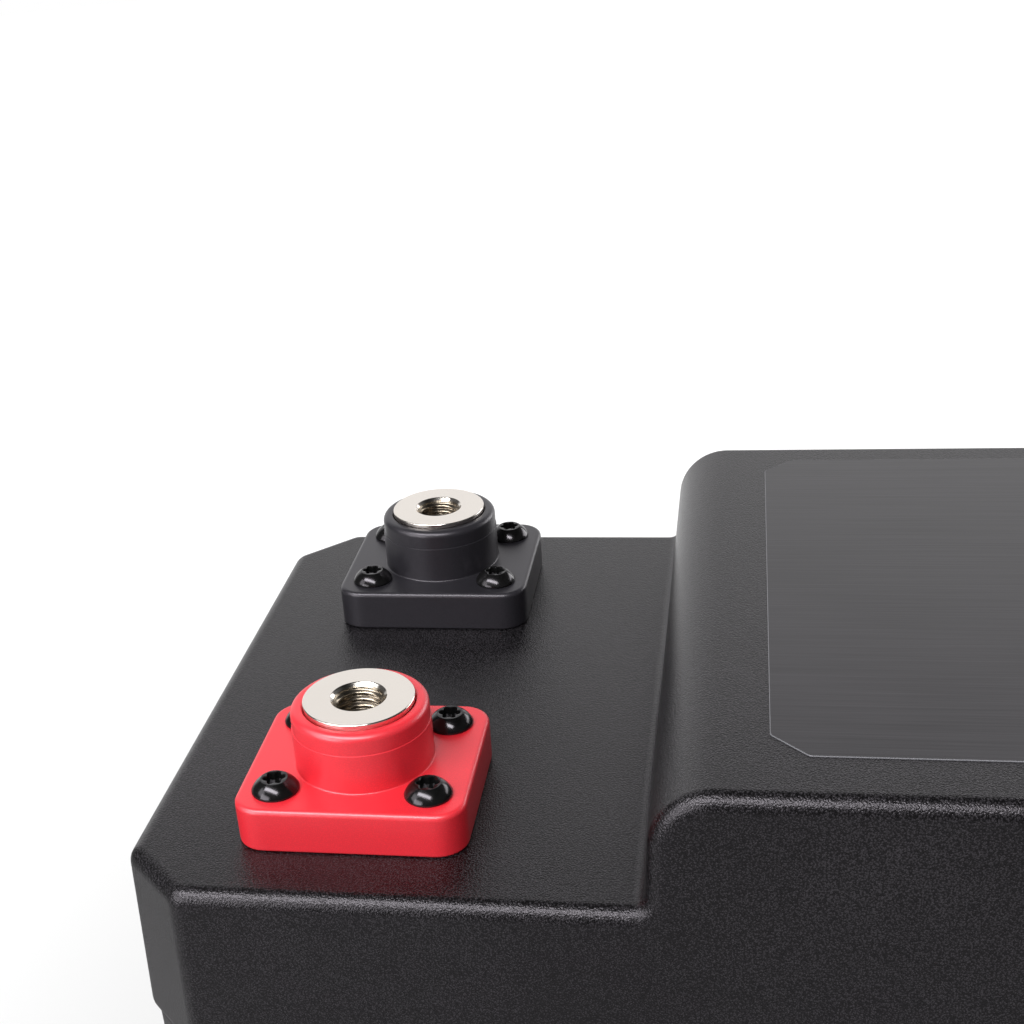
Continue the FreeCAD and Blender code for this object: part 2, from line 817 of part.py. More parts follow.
def unit_bolt_hole(y):
    return x_cylinder(unit_bolt_diameter + bolt_hole_clearance, pad_left_x - bar_thickness, pad_left_x, y, pad_z)


def positive_bar_centre():
    return -(terminal_y + cell_terminal_y) / 2


def positive_bar_width():
    return abs(terminal_y - cell_terminal_y) + bar_landing


def positive_busbar():
    """From the positive post over the management unit to the first two cells."""
    low = post_bottom_z - bar_thickness / 2
    high = link_z + bar_thickness / 2
    rise_end = row_left - bar_bend_radius
    path = [(terminal_x - bar_landing / 2, low), (rise_end - bar_slope_run * abs(high - low), low), (rise_end, high),
            (cell_x(1) + link_overhang, high)]
    y = positive_bar_centre()
    half = positive_bar_width() / 2
    bar = strip(path, bar_thickness, bar_bend_radius, "y", y - half, y + half)
    return bar.cut(post_bolt_hole(terminal_x, -terminal_y))


def unit_bar_x():
    """Middle plane of the upright legs that lie on the unit's terminal pads."""
    return pad_left_x - bar_thickness / 2


def negative_busbar():
    """From the management unit's output pad up and across to the negative post."""
    high = post_bottom_z - bar_thickness / 2
    path = [(terminal_x - bar_landing / 2, high), (unit_bar_x(), high), (unit_bar_x(), pad_z - bar_landing / 2)]
    bar = strip(path, bar_thickness, bar_bend_radius, "y", terminal_y - bar_landing / 2, terminal_y + bar_landing / 2)
    return bar.cut([post_bolt_hole(terminal_x, terminal_y), unit_bolt_hole(terminal_y)])


def riser_span():
    return (cell_x(cell_count - 2) - link_overhang, cell_x(cell_count - 1) + link_overhang)


def riser_y():
    """Middle plane of the riser's upright leg."""
    return -(return_bar_width / 2 + bar_bend_radius + bar_thickness)


def negative_riser():
    """From the last two cells up through the cover board, folded over the return bar and welded to it."""
    low = link_z + bar_thickness / 2
    high = return_bar_z + bar_thickness + bar_thickness / 2
    path = [(-cell_terminal_y - link_width / 2, low), (riser_y(), low), (riser_y(), high),
            (return_bar_width / 2, high)]
    return strip(path, bar_thickness, bar_bend_radius, "x", *riser_span())


def return_busbar():
    """From the riser along the cover board and down to the management unit's input pad."""
    level = return_bar_z + bar_thickness / 2
    path = [(unit_bar_x(), pad_z - bar_landing / 2), (unit_bar_x(), level), (riser_span()[1], level)]
    half = return_bar_width / 2
    return strip(path, bar_thickness, bar_bend_radius, "y", -half, half).cut(unit_bolt_hole(0))


# Management unit

def unit_prism(inset, x0, x1):
    """Upright prism along X of the unit's outline, moved inward by inset."""
    half = unit_half - inset
    points = cut_rectangle(-half, half, unit_low_z + inset, unit_top_z - inset, cut_after(unit_corner_cut, -inset))
    wire = rounded_wire(points, [0] * len(points), lambda p: V(x0, p.x, p.y))
    return Part.Face(wire).extrude(V(x1 - x0, 0, 0))


def unit_heat_sink():
    """Finned tray: the board lies on a ledge inside its rim, and two eared feet stand on the end plate."""
    body = unit_prism(0, board_left_x, sink_right_x)
    body = body.cut([unit_prism(tray_wall, board_left_x, board_right_x),
                     unit_prism(tray_wall + tray_ledge, board_right_x, sink_left_x)])
    more = []
    for y in evenly(-unit_half, unit_half, sink_fin_count):
        more.append(box(sink_right_x, sink_right_x + sink_fin_height, y - sink_fin_thickness / 2,
                        y + sink_fin_thickness / 2, unit_low_z + unit_corner_cut, unit_top_z - unit_corner_cut))
    holes = []
    for y in ear_places():
        more.append(box(sink_left_x, row_left, y - ear_width / 2, y + ear_width / 2,
                        ear_z - ear_height / 2, ear_z + ear_height / 2))
        holes.append(x_cylinder(unit_stud_diameter + 2 * thread_clearance, sink_left_x, row_left, y, ear_z))
    return body.fuse(more).cut(holes)


def unit_nuts():
    """Nuts on the end plate's studs."""
    solids = []
    for y in ear_places():
        nut = hexagon(unit_nut_flats, V(sink_left_x - unit_nut_height, y, ear_z), V(1, 0, 0), unit_nut_height)
        bore = x_cylinder(unit_stud_diameter + 2 * thread_clearance, sink_left_x - unit_nut_height, sink_left_x, y,
                          ear_z)
        solids.append(nut.cut(bore))
    return group(solids)


def unit_board():
    return unit_prism(tray_wall + tray_clearance, board_left_x, board_right_x)


def unit_pads():
    """Two metal blocks on the board that the busbars are bolted to."""
    solids = []
    half = pad_block_size / 2
    for y in (0, terminal_y):
        block = box(pad_left_x, board_left_x, y - half, y + half, pad_z - half, pad_z + half)
        solids.append(block.cut(x_cylinder(unit_bolt_diameter, pad_left_x, board_left_x, y, pad_z)))
    return group(solids)


def unit_bolts():
    solids = []
    seat = pad_left_x - bar_thickness
    for y in (0, terminal_y):
        shank = x_cylinder(unit_bolt_diameter - 2 * thread_clearance, seat, board_left_x, y, pad_z)
        head = hexagon(unit_bolt_head_flats, V(seat - unit_bolt_head_height, y, pad_z), V(1, 0, 0),
                       unit_bolt_head_height)
        solids.append(shank.fuse(head))
    return group(solids)


def unit_transistors():
    """Rows of power transistors between the capacitors and the terminal pads."""
    low = capacitor_z + capacitor_width + component_margin
    high = pad_z - bar_landing / 2 - component_margin
    reach = unit_half - tray_wall - component_margin
    half_y, half_z = transistor_width / 2, transistor_height / 2
    solids = []
    for z in evenly(low, high, transistor_rows):
        for y in evenly(-reach, reach, transistor_columns):
            solids.append(box(board_left_x - transistor_thickness, board_left_x, y - half_y, y + half_y,
                              z - half_z, z + half_z))
    return group(solids)


def unit_capacitors():
    """Film capacitors in a row along the board's lower edge."""
    reach = capacitor_count * capacitor_spacing / 2
    half = capacitor_length / 2
    return group([box(board_left_x - capacitor_height, board_left_x, y - half, y + half, capacitor_z,
                      capacitor_z + capacitor_width) for y in evenly(-reach, reach, capacitor_count)])


def connector_top_z():
    return unit_top_z - tray_wall - connector_drop


def sense_drop_x():
    return board_left_x - connector_depth / 2


def sense_connectors():
    """Open-topped shells on the board that the sensing strips plug into."""
    solids = []
    top = connector_top_z()
    low = top - connector_height
    half = connector_length / 2
    for y in (-sense_lane, sense_lane):
        shell = box(board_left_x - connector_depth, board_left_x, y - half, y + half, low, top)
        inner = half - connector_shell
        slot = box(sense_drop_x() - connector_shell, sense_drop_x() + connector_shell, y - inner, y + inner,
                   low + connector_shell, top)
        solids.append(shell.cut(slot))
    return group(solids)


def sense_circuits():
    """Thin flexible strips along the frame, with a tab beside each link, bent down into the connectors."""
    level = link_z + sense_thickness / 2
    low = connector_top_z() - connector_height + connector_shell
    link_edge = cell_terminal_y - link_width / 2
    bar_edge = -positive_bar_centre() - positive_bar_width() / 2
    runs = [(1, cell_x(cell_count - 1), (cell_x(0), cell_x(4)), link_edge),
            (-1, riser_span()[0] - sense_start_gap, (cell_x(0), cell_x(2)), min(link_edge, bar_edge))]
    solids = []
    for side, end, tabs, edge in runs:
        y = side * sense_lane
        path = [(sense_drop_x(), low), (sense_drop_x(), level), (end, level)]
        tape = strip(path, sense_thickness, bar_bend_radius, "y", y - sense_width / 2, y + sense_width / 2)
        y0, y1 = sorted((side * (sense_lane + sense_width / 2), side * (edge - sense_tab_gap)))
        for x in tabs:
            tape = tape.fuse(box(x - sense_tab_width / 2, x + sense_tab_width / 2, y0, y1, link_z,
                                 link_z + sense_thickness))
        solids.append(tape)
    return group(solids)


def build():
    parts = {
        "lower_case": lower_case(),
        "lid": lid(),
        "rim_sealant": rim_sealant(),
        "top_label": top_label(),
        "positive_terminal_block": terminal_block(-terminal_y),
        "negative_terminal_block": terminal_block(terminal_y),
        "terminal_posts": group([terminal_post(x, y) for x, y in terminal_places()]),
        "block_screws": block_screws(),
        "lid_screw_inserts": lid_screw_inserts(),
        "block_gaskets": block_gaskets(),
        "post_bolts": post_bolts(),
        "cell_spacers": cell_spacers(),
        "left_end_plate": left_end_plate(),
        "right_end_plate": end_plate(row_right - end_plate_thickness, 1),
        "pack_bands": pack_bands(),
        "base_pad": base_pad(),
        "side_pads": side_pads(),
        "end_pads": end_pads(),
        "top_pads": top_pads(),
        "busbar_frame": busbar_frame(),
        "cover_board": cover_board(),
        "cell_links": cell_links(),
        "positive_busbar": positive_busbar(),
        "negative_busbar": negative_busbar(),
        "negative_riser": negative_riser(),
        "return_busbar": return_busbar(),
        "unit_heat_sink": unit_heat_sink(),
        "unit_nuts": unit_nuts(),
        "unit_board": unit_board(),
        "unit_pads": unit_pads(),
        "unit_bolts": unit_bolts(),
        "unit_transistors": unit_transistors(),
        "unit_capacitors": unit_capacitors(),
        "sense_connectors": sense_connectors(),
        "sense_circuits": sense_circuits(),
    }
    for i in range(cell_count):
        parts["cell_%d" % (i + 1)] = cell(i)
    return parts


os.makedirs("parts", exist_ok=True)
for name, shape in build().items():
    shape.exportStep("parts/%s.step" % name)
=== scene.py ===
"""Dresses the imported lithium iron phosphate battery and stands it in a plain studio.

The housing, the terminal blocks, the threaded posts, the button screws and the label film are modelled here
with their rounded edges, threads and grain. What is sealed inside keeps its solids and gets a finish.
"""

import json
import math

import bpy
from bpy.props import FloatProperty, FloatVectorProperty, IntProperty, PointerProperty
from mathutils import Matrix, Vector


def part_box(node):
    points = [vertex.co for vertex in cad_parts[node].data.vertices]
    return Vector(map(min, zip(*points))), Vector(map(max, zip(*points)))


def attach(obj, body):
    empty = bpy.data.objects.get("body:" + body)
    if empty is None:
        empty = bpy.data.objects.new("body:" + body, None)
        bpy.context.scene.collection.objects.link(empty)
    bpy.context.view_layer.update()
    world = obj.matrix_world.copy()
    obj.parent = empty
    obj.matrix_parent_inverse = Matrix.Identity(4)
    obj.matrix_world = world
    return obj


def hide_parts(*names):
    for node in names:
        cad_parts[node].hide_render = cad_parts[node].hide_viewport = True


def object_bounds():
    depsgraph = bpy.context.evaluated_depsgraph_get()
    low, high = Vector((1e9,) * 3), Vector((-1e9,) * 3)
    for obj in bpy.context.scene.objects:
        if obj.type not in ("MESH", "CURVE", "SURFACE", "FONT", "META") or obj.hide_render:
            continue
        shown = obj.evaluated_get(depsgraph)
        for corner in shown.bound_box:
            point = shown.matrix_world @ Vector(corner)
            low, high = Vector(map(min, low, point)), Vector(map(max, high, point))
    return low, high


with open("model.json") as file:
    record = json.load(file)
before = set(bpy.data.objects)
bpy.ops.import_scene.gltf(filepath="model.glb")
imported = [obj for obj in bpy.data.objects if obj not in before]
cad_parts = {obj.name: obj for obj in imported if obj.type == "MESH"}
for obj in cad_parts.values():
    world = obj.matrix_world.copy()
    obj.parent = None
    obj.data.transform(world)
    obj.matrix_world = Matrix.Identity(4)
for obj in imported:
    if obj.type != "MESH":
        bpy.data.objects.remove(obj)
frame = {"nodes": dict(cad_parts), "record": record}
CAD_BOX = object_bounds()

bl_info = {
    "name": "Dressed Lithium Battery",
    "version": (1, 0, 0),
    "blender": (4, 5, 0),
    "location": "View3D > Sidebar > Battery",
    "description": "Builds the visible pieces and finishes of a sealed lithium iron phosphate battery",
    "category": "Object",
}

BODY = "root"
MM = 0.001
SMOOTH_ANGLE = math.radians(32)
SCREW_SMOOTH_ANGLE = math.radians(40)
SIDES = (-1, 1)

LID_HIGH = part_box("lid")[1]
CASE_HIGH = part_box("lower_case")[1]
LABEL_LOW, LABEL_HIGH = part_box("top_label")
POSTS_LOW, POSTS_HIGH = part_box("terminal_posts")
BANDS_LOW, BANDS_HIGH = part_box("pack_bands")
BLOCKS = {name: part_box(name) for name in ("positive_terminal_block", "negative_terminal_block")}
DECK_Z = BLOCKS["positive_terminal_block"][0].z
WIDEST_ABOVE_EDGE = 1.6 * MM
SMALLEST_CORNER = 0.6 * MM
SMALLEST_INNER_CORNER = 0.8 * MM


# Sizes and colours

def length_property(name, description, millimetres):
    return FloatProperty(name=name, description=description, default=millimetres * MM, unit="LENGTH")


def angle_property(name, description, degrees):
    return FloatProperty(name=name, description=description, default=math.radians(degrees), subtype="ANGLE")


def power_property(name, description, watts):
    return FloatProperty(name=name, description=description, default=watts, unit="POWER")


def share_property(name, description, value):
    return FloatProperty(name=name, description=description, default=value, min=0, max=1, subtype="FACTOR")


def colour_property(name, description, value):
    return FloatVectorProperty(
        name=name, description=description, subtype="COLOR", size=3, min=0, max=1, default=value)


class HousingSizes(bpy.types.PropertyGroup):
    """Sizes of the stepped lid and the tub below it."""

    edge_radius: length_property("Edge radius", "Rounding along every top edge of the lid", 3.4)
    corner_radius: length_property("Corner radius", "Rounding of the upright corners", 5)
    corner_cut: length_property("Corner cut", "Leg of each cut corner at the lid's lower edge", 14.4)
    step_x: length_property("Step position", "Where the step's face meets the deck", -137.777)
    step_foot_radius: length_property("Step foot radius", "Hollow rounding at the foot of the step", 2.6)
    step_top_radius: length_property("Step top radius", "Large rounding at the top of the step", 12)
    lip_height: length_property("Lip height", "Height of the rounding of the lid's lower lip", 2.6)
    lip_draw: length_property("Lip draw", "How far the lid's lower lip is drawn in", 1.3)
    lid_wall: length_property("Lid wall", "Thickness of the lid", 3.2)
    shoulder: length_property("Shoulder", "From the lid's edge up to the foot of its inner wall", 6)
    tongue_depth: length_property("Tongue depth", "How far the tongue reaches below the case's rim", 4)
    tongue_outside: length_property("Tongue outside", "From the lid's outside to the tongue", 3.8)
    tongue_inside: length_property("Tongue inside", "From the lid's outside to the tongue's far side", 6)
    skirt_inside: length_property("Skirt inside", "From the lid's outside to the inside of its skirt", 6.6)
    seam_gap: length_property("Seam gap", "Open gap between the case and the lid", 1)
    case_rise: length_property("Case rise", "How far the case's rim stands above the packed one", 2.1)
    case_inset: length_property("Case inset", "From the lid's outside to the case's rim", 1.1)
    case_wall: length_property("Case wall", "Thickness of the case's walls", 4)
    case_floor: length_property("Case floor", "Thickness of the case's floor", 5)
    foot_radius: length_property("Foot radius", "Rounding round the base of the case", 2.6)
    rim_height: length_property("Rim height", "Height of the thick rim round the case", 12)
    rim_flare: length_property("Rim flare", "Height of the slope below the thick rim", 3.1)
    rim_edge: length_property("Rim edge", "Rounding of the rim's outer edge", 0.5)
    rim_inside: length_property("Rim inside", "From the lid's outside to the rim's inner side", 8.6)
    channel_far: length_property("Channel far", "From the lid's outside to the channel's far side", 6.3)
    channel_near: length_property("Channel near", "From the lid's outside to the channel's near side", 3.5)
    channel_depth: length_property("Channel depth", "Depth of the sealing channel in the rim", 6)
    lid_draft: angle_property("Lid draft", "Lean of the lid's sides and step", 2)
    case_draft: angle_property("Case draft", "Lean of the case's sides", 0.4)
    arc_steps: IntProperty(
        name="Arc steps", description="Faces along each rounded edge", default=8, min=3, max=24)


class TerminalSizes(bpy.types.PropertyGroup):
    """Sizes of the screwed-on terminal blocks and the threaded posts in them."""

    block_height: length_property("Plate height", "Height of the rounded plate above the deck", 9.5)
    corner_radius: length_property("Plate corner radius", "Rounding of the plate's upright corners", 6)
    top_round: length_property("Plate edge", "Rounding along the plate's top edge", 1.1)
    bottom_round: length_property("Plate foot", "Rounding along the plate's lower edge", 0.6)
    boss_radius: length_property("Boss radius", "Radius of the round boss", 14)
    boss_rim: length_property("Boss rim", "Rounding of the boss's top rim", 1.5)
    boss_foot: length_property("Boss foot", "Hollow rounding where the boss meets the plate", 0.35)
    parting_height: length_property("Parting height", "Height of the parting line on the boss", 8.5)
    parting_step: length_property("Parting step", "How far the boss steps in above that line", 0.16)
    bore_radius: length_property("Bore radius", "Radius of the block's bore round the post", 9.2)
    ring_play: length_property("Ring play", "Gap round the plated ring in its seat", 0.15)
    seat_ease: length_property("Seat ease", "Bevel round the mouth of the ring's seat", 0.25)
    ring_radius: length_property("Ring radius", "Radius of the plated contact ring", 11.2)
    ring_height: length_property("Ring height", "Thickness of the plated contact ring", 4)
    ring_round: length_property("Ring edge", "Rounding of the ring's outer edge", 0.25)
    mouth_radius: length_property("Hole mouth", "Radius of the chamfer round the threaded hole", 5.75)
    thread_pitch: length_property("Thread pitch", "Rise of the thread in one turn", 1.5)
    thread_root: length_property("Thread root", "Radius of the thread at its widest", 5)
    thread_crest: length_property("Thread crest", "Radius of the thread at its narrowest", 4.25)
    thread_depth: length_property("Thread depth", "Depth of the threaded hole", 16)
    drill_point: length_property("Drill point", "Depth of the cone below the thread", 2.4)
    post_radius: length_property("Post radius", "Radius of the post below its ring", 9)
    post_ease: length_property("Post ease", "Bevel round the post's lower end", 0.6)
    lower_bore: length_property("Lower bore", "Radius of the hole for the bolt from below", 3.4)
    lower_depth: length_property("Lower depth", "Depth of the hole for the bolt from below", 11)


class ScrewSizes(bpy.types.PropertyGroup):
    """Sizes of the button screws that hold the blocks, and how they are turned."""

    inset: length_property("Inset", "From the plate's side to the screw's middle", 7.75)
    head_radius: length_property("Head radius", "Radius of the button head", 4.75)
    head_height: length_property("Head height", "Height of the button head", 2.7)
    rim_height: length_property("Rim height", "Upright rim below the dome", 0.45)
    crown_radius: length_property("Crown radius", "Radius of the flat crown round the socket", 2.75)
    socket_radius: length_property("Socket radius", "Middle radius of the lobed socket", 1.95)
    socket_wave: length_property("Socket lobes", "How far the lobes swing out and in", 0.29)
    socket_depth: length_property("Socket depth", "Depth of the socket", 1.55)
    length: length_property("Length", "Length of the shank below the head", 16)
    shank_radius: length_property("Shank radius", "Radius of the shank", 2.45)
    tip_radius: length_property("Tip radius", "Radius of the shank's tip", 1.9)
    seed: IntProperty(name="Seed", description="Changes how each screw is turned", default=4)


class FinishColours(bpy.types.PropertyGroup):
    """Colours of the visible finishes."""

    housing: colour_property("Housing", "Grained black housing plastic", (0.0150, 0.0138, 0.0156))
    label: colour_property("Label", "Bare label film", (0.018, 0.0172, 0.0188))
    red_block: colour_property("Red block", "Plastic of the positive block", (0.70, 0.018, 0.030))
    black_block: colour_property("Black block", "Plastic of the negative block", (0.016, 0.0152, 0.0185))
    plating: colour_property("Plating", "Nickel plating of the posts", (0.82, 0.765, 0.71))
    screws: colour_property("Screws", "Black finish of the button screws", (0.005, 0.005, 0.005))


class StudioLevels(bpy.types.PropertyGroup):
    """Lamps, floor and lens."""

    overhead: power_property("Overhead lamp", "Power of the soft lamp above the battery", 25)
    side: power_property("Side lamp", "Power of the soft lamp on the left", 2.3)
    front: power_property("Front lamp", "Power of the soft lamp in front", 3.2)
    fill: power_property("Fill lamp", "Power of the soft lamp behind on the right", 13)
    zenith: share_property("Zenith", "Strength of the surroundings overhead in mirrors", 0.06)
    ambient: share_property("Ambient", "Strength of the surroundings for matte surfaces", 0.3)
    floor: colour_property("Floor", "Colour of the pale floor", (0.28, 0.28, 0.28))
    floor_lift: share_property("Floor lift", "What the floor near the battery shows the camera", 0.44)
    lens: FloatProperty(name="Lens", description="Focal length of the camera", default=55.05, unit="CAMERA")


# Meshes

def arc(first, last, steps):
    """Evenly spaced angles in radians between two angles in degrees."""
    return [math.radians(first + (last - first) * i / steps) for i in range(steps + 1)]


def quarter(radius, steps):
    """Places along a quarter round, each as its distance from the far face and from the near one."""
    return [(radius * (1 - math.sin(a)), radius * (1 - math.cos(a))) for a in arc(0, 90, steps)]


class Turning:
    """Outlines round an upright axis, one after another from the hollow to the outside."""

    def __init__(self, x=0.0, y=0.0, around=96):
        self.x = x
        self.y = y
        self.angles = [2 * math.pi * i / around for i in range(around)]
        self.outlines = []

    def ring(self, radius_at, z):
        """Adds an outline whose radius follows from the angle."""
        points = []
        for a in self.angles:
            radius = radius_at(a)
            points.append(Vector((self.x + radius * math.cos(a), self.y + radius * math.sin(a), z)))
        self.outlines.append(points)

    def circles(self, *places):
        """Adds a round outline for each radius and height."""
        for radius, z in places:
            self.ring(lambda a: radius, z)


class Skin:
    """Points and faces of a closed skin, laid down ring by ring from its hollow to its outside."""

    def __init__(self):
        self.points = []
        self.faces = []
        self.marked = []

    def mark(self, first, last):
        """Marks a run of faces for the piece's second finish."""
        self.marked.extend(range(first, last))

    def ring(self, points):
        start = len(self.points)
        self.points.extend(points)
        return list(range(start, len(self.points)))

    def bridge(self, near, far):
        for i, start in enumerate(near):
            j = (i + 1) % len(near)
            self.faces.append((start, far[i], far[j], near[j]))

    def rings(self, outlines):
        """Adds a ring for each outline, joined in order, and returns the first and the last."""
        made = [self.ring(points) for points in outlines]
        for near, far in zip(made, made[1:]):
            self.bridge(near, far)
        return made[0], made[-1]

    def solid(self, outlines):
        """Adds rings and closes them, with a face that looks up on the first and down on the last."""
        first, last = self.rings(outlines)
        self.faces.append(tuple(first))
        self.faces.append(tuple(reversed(last)))

    def box(self, x0, x1, y0, y1, z0, z1):
        corners = [(x0, y0), (x1, y0), (x1, y1), (x0, y1)]
        self.solid([[Vector((x, y, z)) for x, y in corners] for z in (z1, z0)])

    def block(self, x, y, half_x, half_y, z0, z1):
        """Box round an upright axis."""
        self.box(x - half_x, x + half_x, y - half_y, y + half_y, z0, z1)


def skin_mesh(name, skin, sharp=SMOOTH_ANGLE):
    """Smoothly shaded mesh of a skin, with the edges left sharp that bend by more than an angle."""
    mesh = bpy.data.meshes.new(name)
    mesh.from_pydata([tuple(p) for p in skin.points], [], skin.faces)
    mesh.polygons.foreach_set("use_smooth", [True] * len(mesh.polygons))
    mesh.set_sharp_from_angle(angle=sharp)
    return mesh


def stand(name, data):
    """Object of a mesh, lamp or camera, put in the scene."""
    obj = bpy.data.objects.new(name, data)
    bpy.context.scene.collection.objects.link(obj)
    return obj


def dress(obj, nodes):
    """Gives a finished piece its shading and its body, and hides the solids that it stands for."""
    shading = obj.modifiers.new("Flat faces", "WEIGHTED_NORMAL")
    shading.keep_sharp = True
    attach(obj, BODY)
    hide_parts(*nodes)


def piece(name, skin, finish_name, nodes, bevel=0.0, second=None):
    """Turns a skin into a finished object, with a second finish on the faces that the skin marks."""
    mesh = skin_mesh(name, skin)
    mesh.materials.append(finish(finish_name))
    if second:
        mesh.materials.append(finish(second))
        for index in skin.marked:
            mesh.polygons[index].material_index = 1
    obj = stand(name, mesh)
    if bevel:
        edge = obj.modifiers.new("Worn edge", "BEVEL")
        edge.width = bevel
        edge.segments = 2
        edge.limit_method = "ANGLE"
    dress(obj, nodes)


# Housing

class Plan:
    """Plan of a housing part: a rectangle with eight rounded corners, measured at one height."""

    def __init__(self, half_x, half_y, cut, middle=(0.0, 0.0), steps=6):
        self.half_x = half_x
        self.half_y = half_y
        self.cut = cut
        self.middle = Vector(middle)
        self.steps = steps

    def centre(self, index, offset, radius):
        """Middle of a corner's arc, with the corners counted from the front right."""
        a = self.half_x - offset
        b = self.half_y - offset
        c = self.cut - offset * (2 - math.sqrt(2))
        corners = [(a - c, -b), (a, c - b), (a, b - c), (a - c, b),
                   (c - a, b), (-a, b - c), (-a, c - b), (c - a, -b)]
        bisector = math.radians(45 * index - 67.5)
        reach = radius / math.cos(math.radians(22.5))
        direction = Vector((math.cos(bisector), math.sin(bisector)))
        return Vector(corners[index]) + self.middle - reach * direction

    def directions(self, index):
        """Outward directions along a corner's arc."""
        angles = arc(45 * index - 90, 45 * index - 45, self.steps)
        return [Vector((math.cos(a), math.sin(a))) for a in angles]

    def outline(self, offset, z, radius, smallest=SMALLEST_CORNER):
        """Counter-clockwise outline, moved inward, at a height."""
        radius = max(radius, smallest)
        points = []
        for index in range(8):
            centre = self.centre(index, offset, radius).to_3d() + Vector((0, 0, z))
            points.extend([centre + radius * d.to_3d() for d in self.directions(index)])
        return points


def case_rim_z(sizes):
    return CASE_HIGH.z + sizes.case_rise


def lid_edge_z(sizes):
    return case_rim_z(sizes) + sizes.seam_gap


def lid_plan(sizes):
    grown = WIDEST_ABOVE_EDGE * math.tan(sizes.lid_draft)
    return Plan(LID_HIGH.x + grown, LID_HIGH.y + grown, sizes.corner_cut)


def lid_lean(sizes, z):
    return (z - lid_edge_z(sizes)) * math.tan(sizes.lid_draft)


def long_profile(sizes, inset):
    """Points and upward directions over the step, from the deck to the raised top."""
    draft = sizes.lid_draft
    deck = DECK_Z - inset
    top = LID_HIGH.z - inset
    foot_x = sizes.step_x + inset
    head_x = foot_x + (top - deck) * math.tan(draft)
    foot_radius = sizes.step_foot_radius + inset
    top_radius = sizes.step_top_radius - inset
    share = (1 - math.sin(draft)) / math.cos(draft)
    upright = 90 - math.degrees(draft)
    foot = Vector((foot_x - foot_radius * share, 0, deck + foot_radius))
    head = Vector((head_x + top_radius * share, 0, top - top_radius))
    profile = []
    for middle, radius, angles in ((foot, -foot_radius, arc(0, upright, sizes.arc_steps)),
                                   (head, top_radius, arc(upright, 0, 2 * sizes.arc_steps))):
        for angle in angles:
            up = Vector((-math.sin(angle), 0, math.cos(angle)))
            profile.append((middle + radius * up, up))
    return profile


def top_stations(sizes, plan, inset, round_radius):
    """Rolling-ball centres round the stepped top, counter-clockwise, each with its two directions."""
    draft = sizes.lid_draft
    sideways = round_radius / math.cos(draft)

    def wall(direction):
        return Vector((direction.x * math.cos(draft), direction.y * math.cos(draft), math.sin(draft)))

    def corner_stations(indices, height):
        z = height - round_radius
        radius = max(sizes.corner_radius - inset, SMALLEST_INNER_CORNER)
        made = []
        for index in indices:
            centre = plan.centre(index, inset + lid_lean(sizes, z), radius)
            for d in plan.directions(index):
                place = centre + (radius - sideways) * d
                made.append((Vector((place.x, place.y, z)), Vector((0, 0, 1)), wall(d)))
        return made

    def side_stations(side):
        made = []
        for point, up in long_profile(sizes, inset):
            ball = point - round_radius * up
            ball.y = side * (plan.half_y - inset - lid_lean(sizes, ball.z) - sideways)
            made.append((ball, up, wall(Vector((0, side)))))
        return made

    right = corner_stations(range(4), LID_HIGH.z - inset)
    back = side_stations(1)[::-1]
    left = corner_stations(range(4, 8), DECK_Z - inset)
    front = side_stations(-1)
    return right, back, left, front


def stepped_top(skin, sizes, plan, base, inset, round_radius):
    """Stepped top over a base ring, with rounded edges and outward faces, or plain with inward faces."""
    right, back, left, front = top_stations(sizes, plan, inset, round_radius)
    stations = right + back + left + front
    steps = sizes.arc_steps if round_radius else 0
    rings = []
    for k in range(steps + 1):
        share = k / steps if steps else 0
        rings.append(skin.ring([c + round_radius * up.slerp(out, share) for c, up, out in stations]))
    for near, far in zip(rings, rings[1:]):
        skin.bridge(near, far)

    # The corners on the right and those on the left each stand over one half of the base.
    top, brow = rings[0], rings[-1]
    half = len(right)
    first_left = half + len(back)
    first_front = first_left + half
    backs = top[half:first_left][::-1]
    fronts = top[first_front:]
    faces = [(fronts[i], fronts[i + 1], backs[i + 1], backs[i]) for i in range(len(fronts) - 1)]
    faces.append(tuple([backs[0]] + top[first_left:first_front] + [fronts[0]]))
    faces.append(tuple([fronts[-1]] + top[:half] + [backs[-1]]))
    for start, lower in ((0, 0), (first_left, half)):
        for j in range(half - 1):
            faces.append((brow[start + j], base[lower + j], base[lower + j + 1], brow[start + j + 1]))
    along_back = brow[half - 1:first_left + 1]
    along_front = brow[first_front - 1:] + brow[:1]
    faces.append(tuple([base[half - 1], base[half]] + along_back[::-1]))
    faces.append(tuple([base[-1], base[0]] + along_front[::-1]))
    if not round_radius:
        faces = [face[::-1] for face in faces]
    skin.faces.extend(faces)


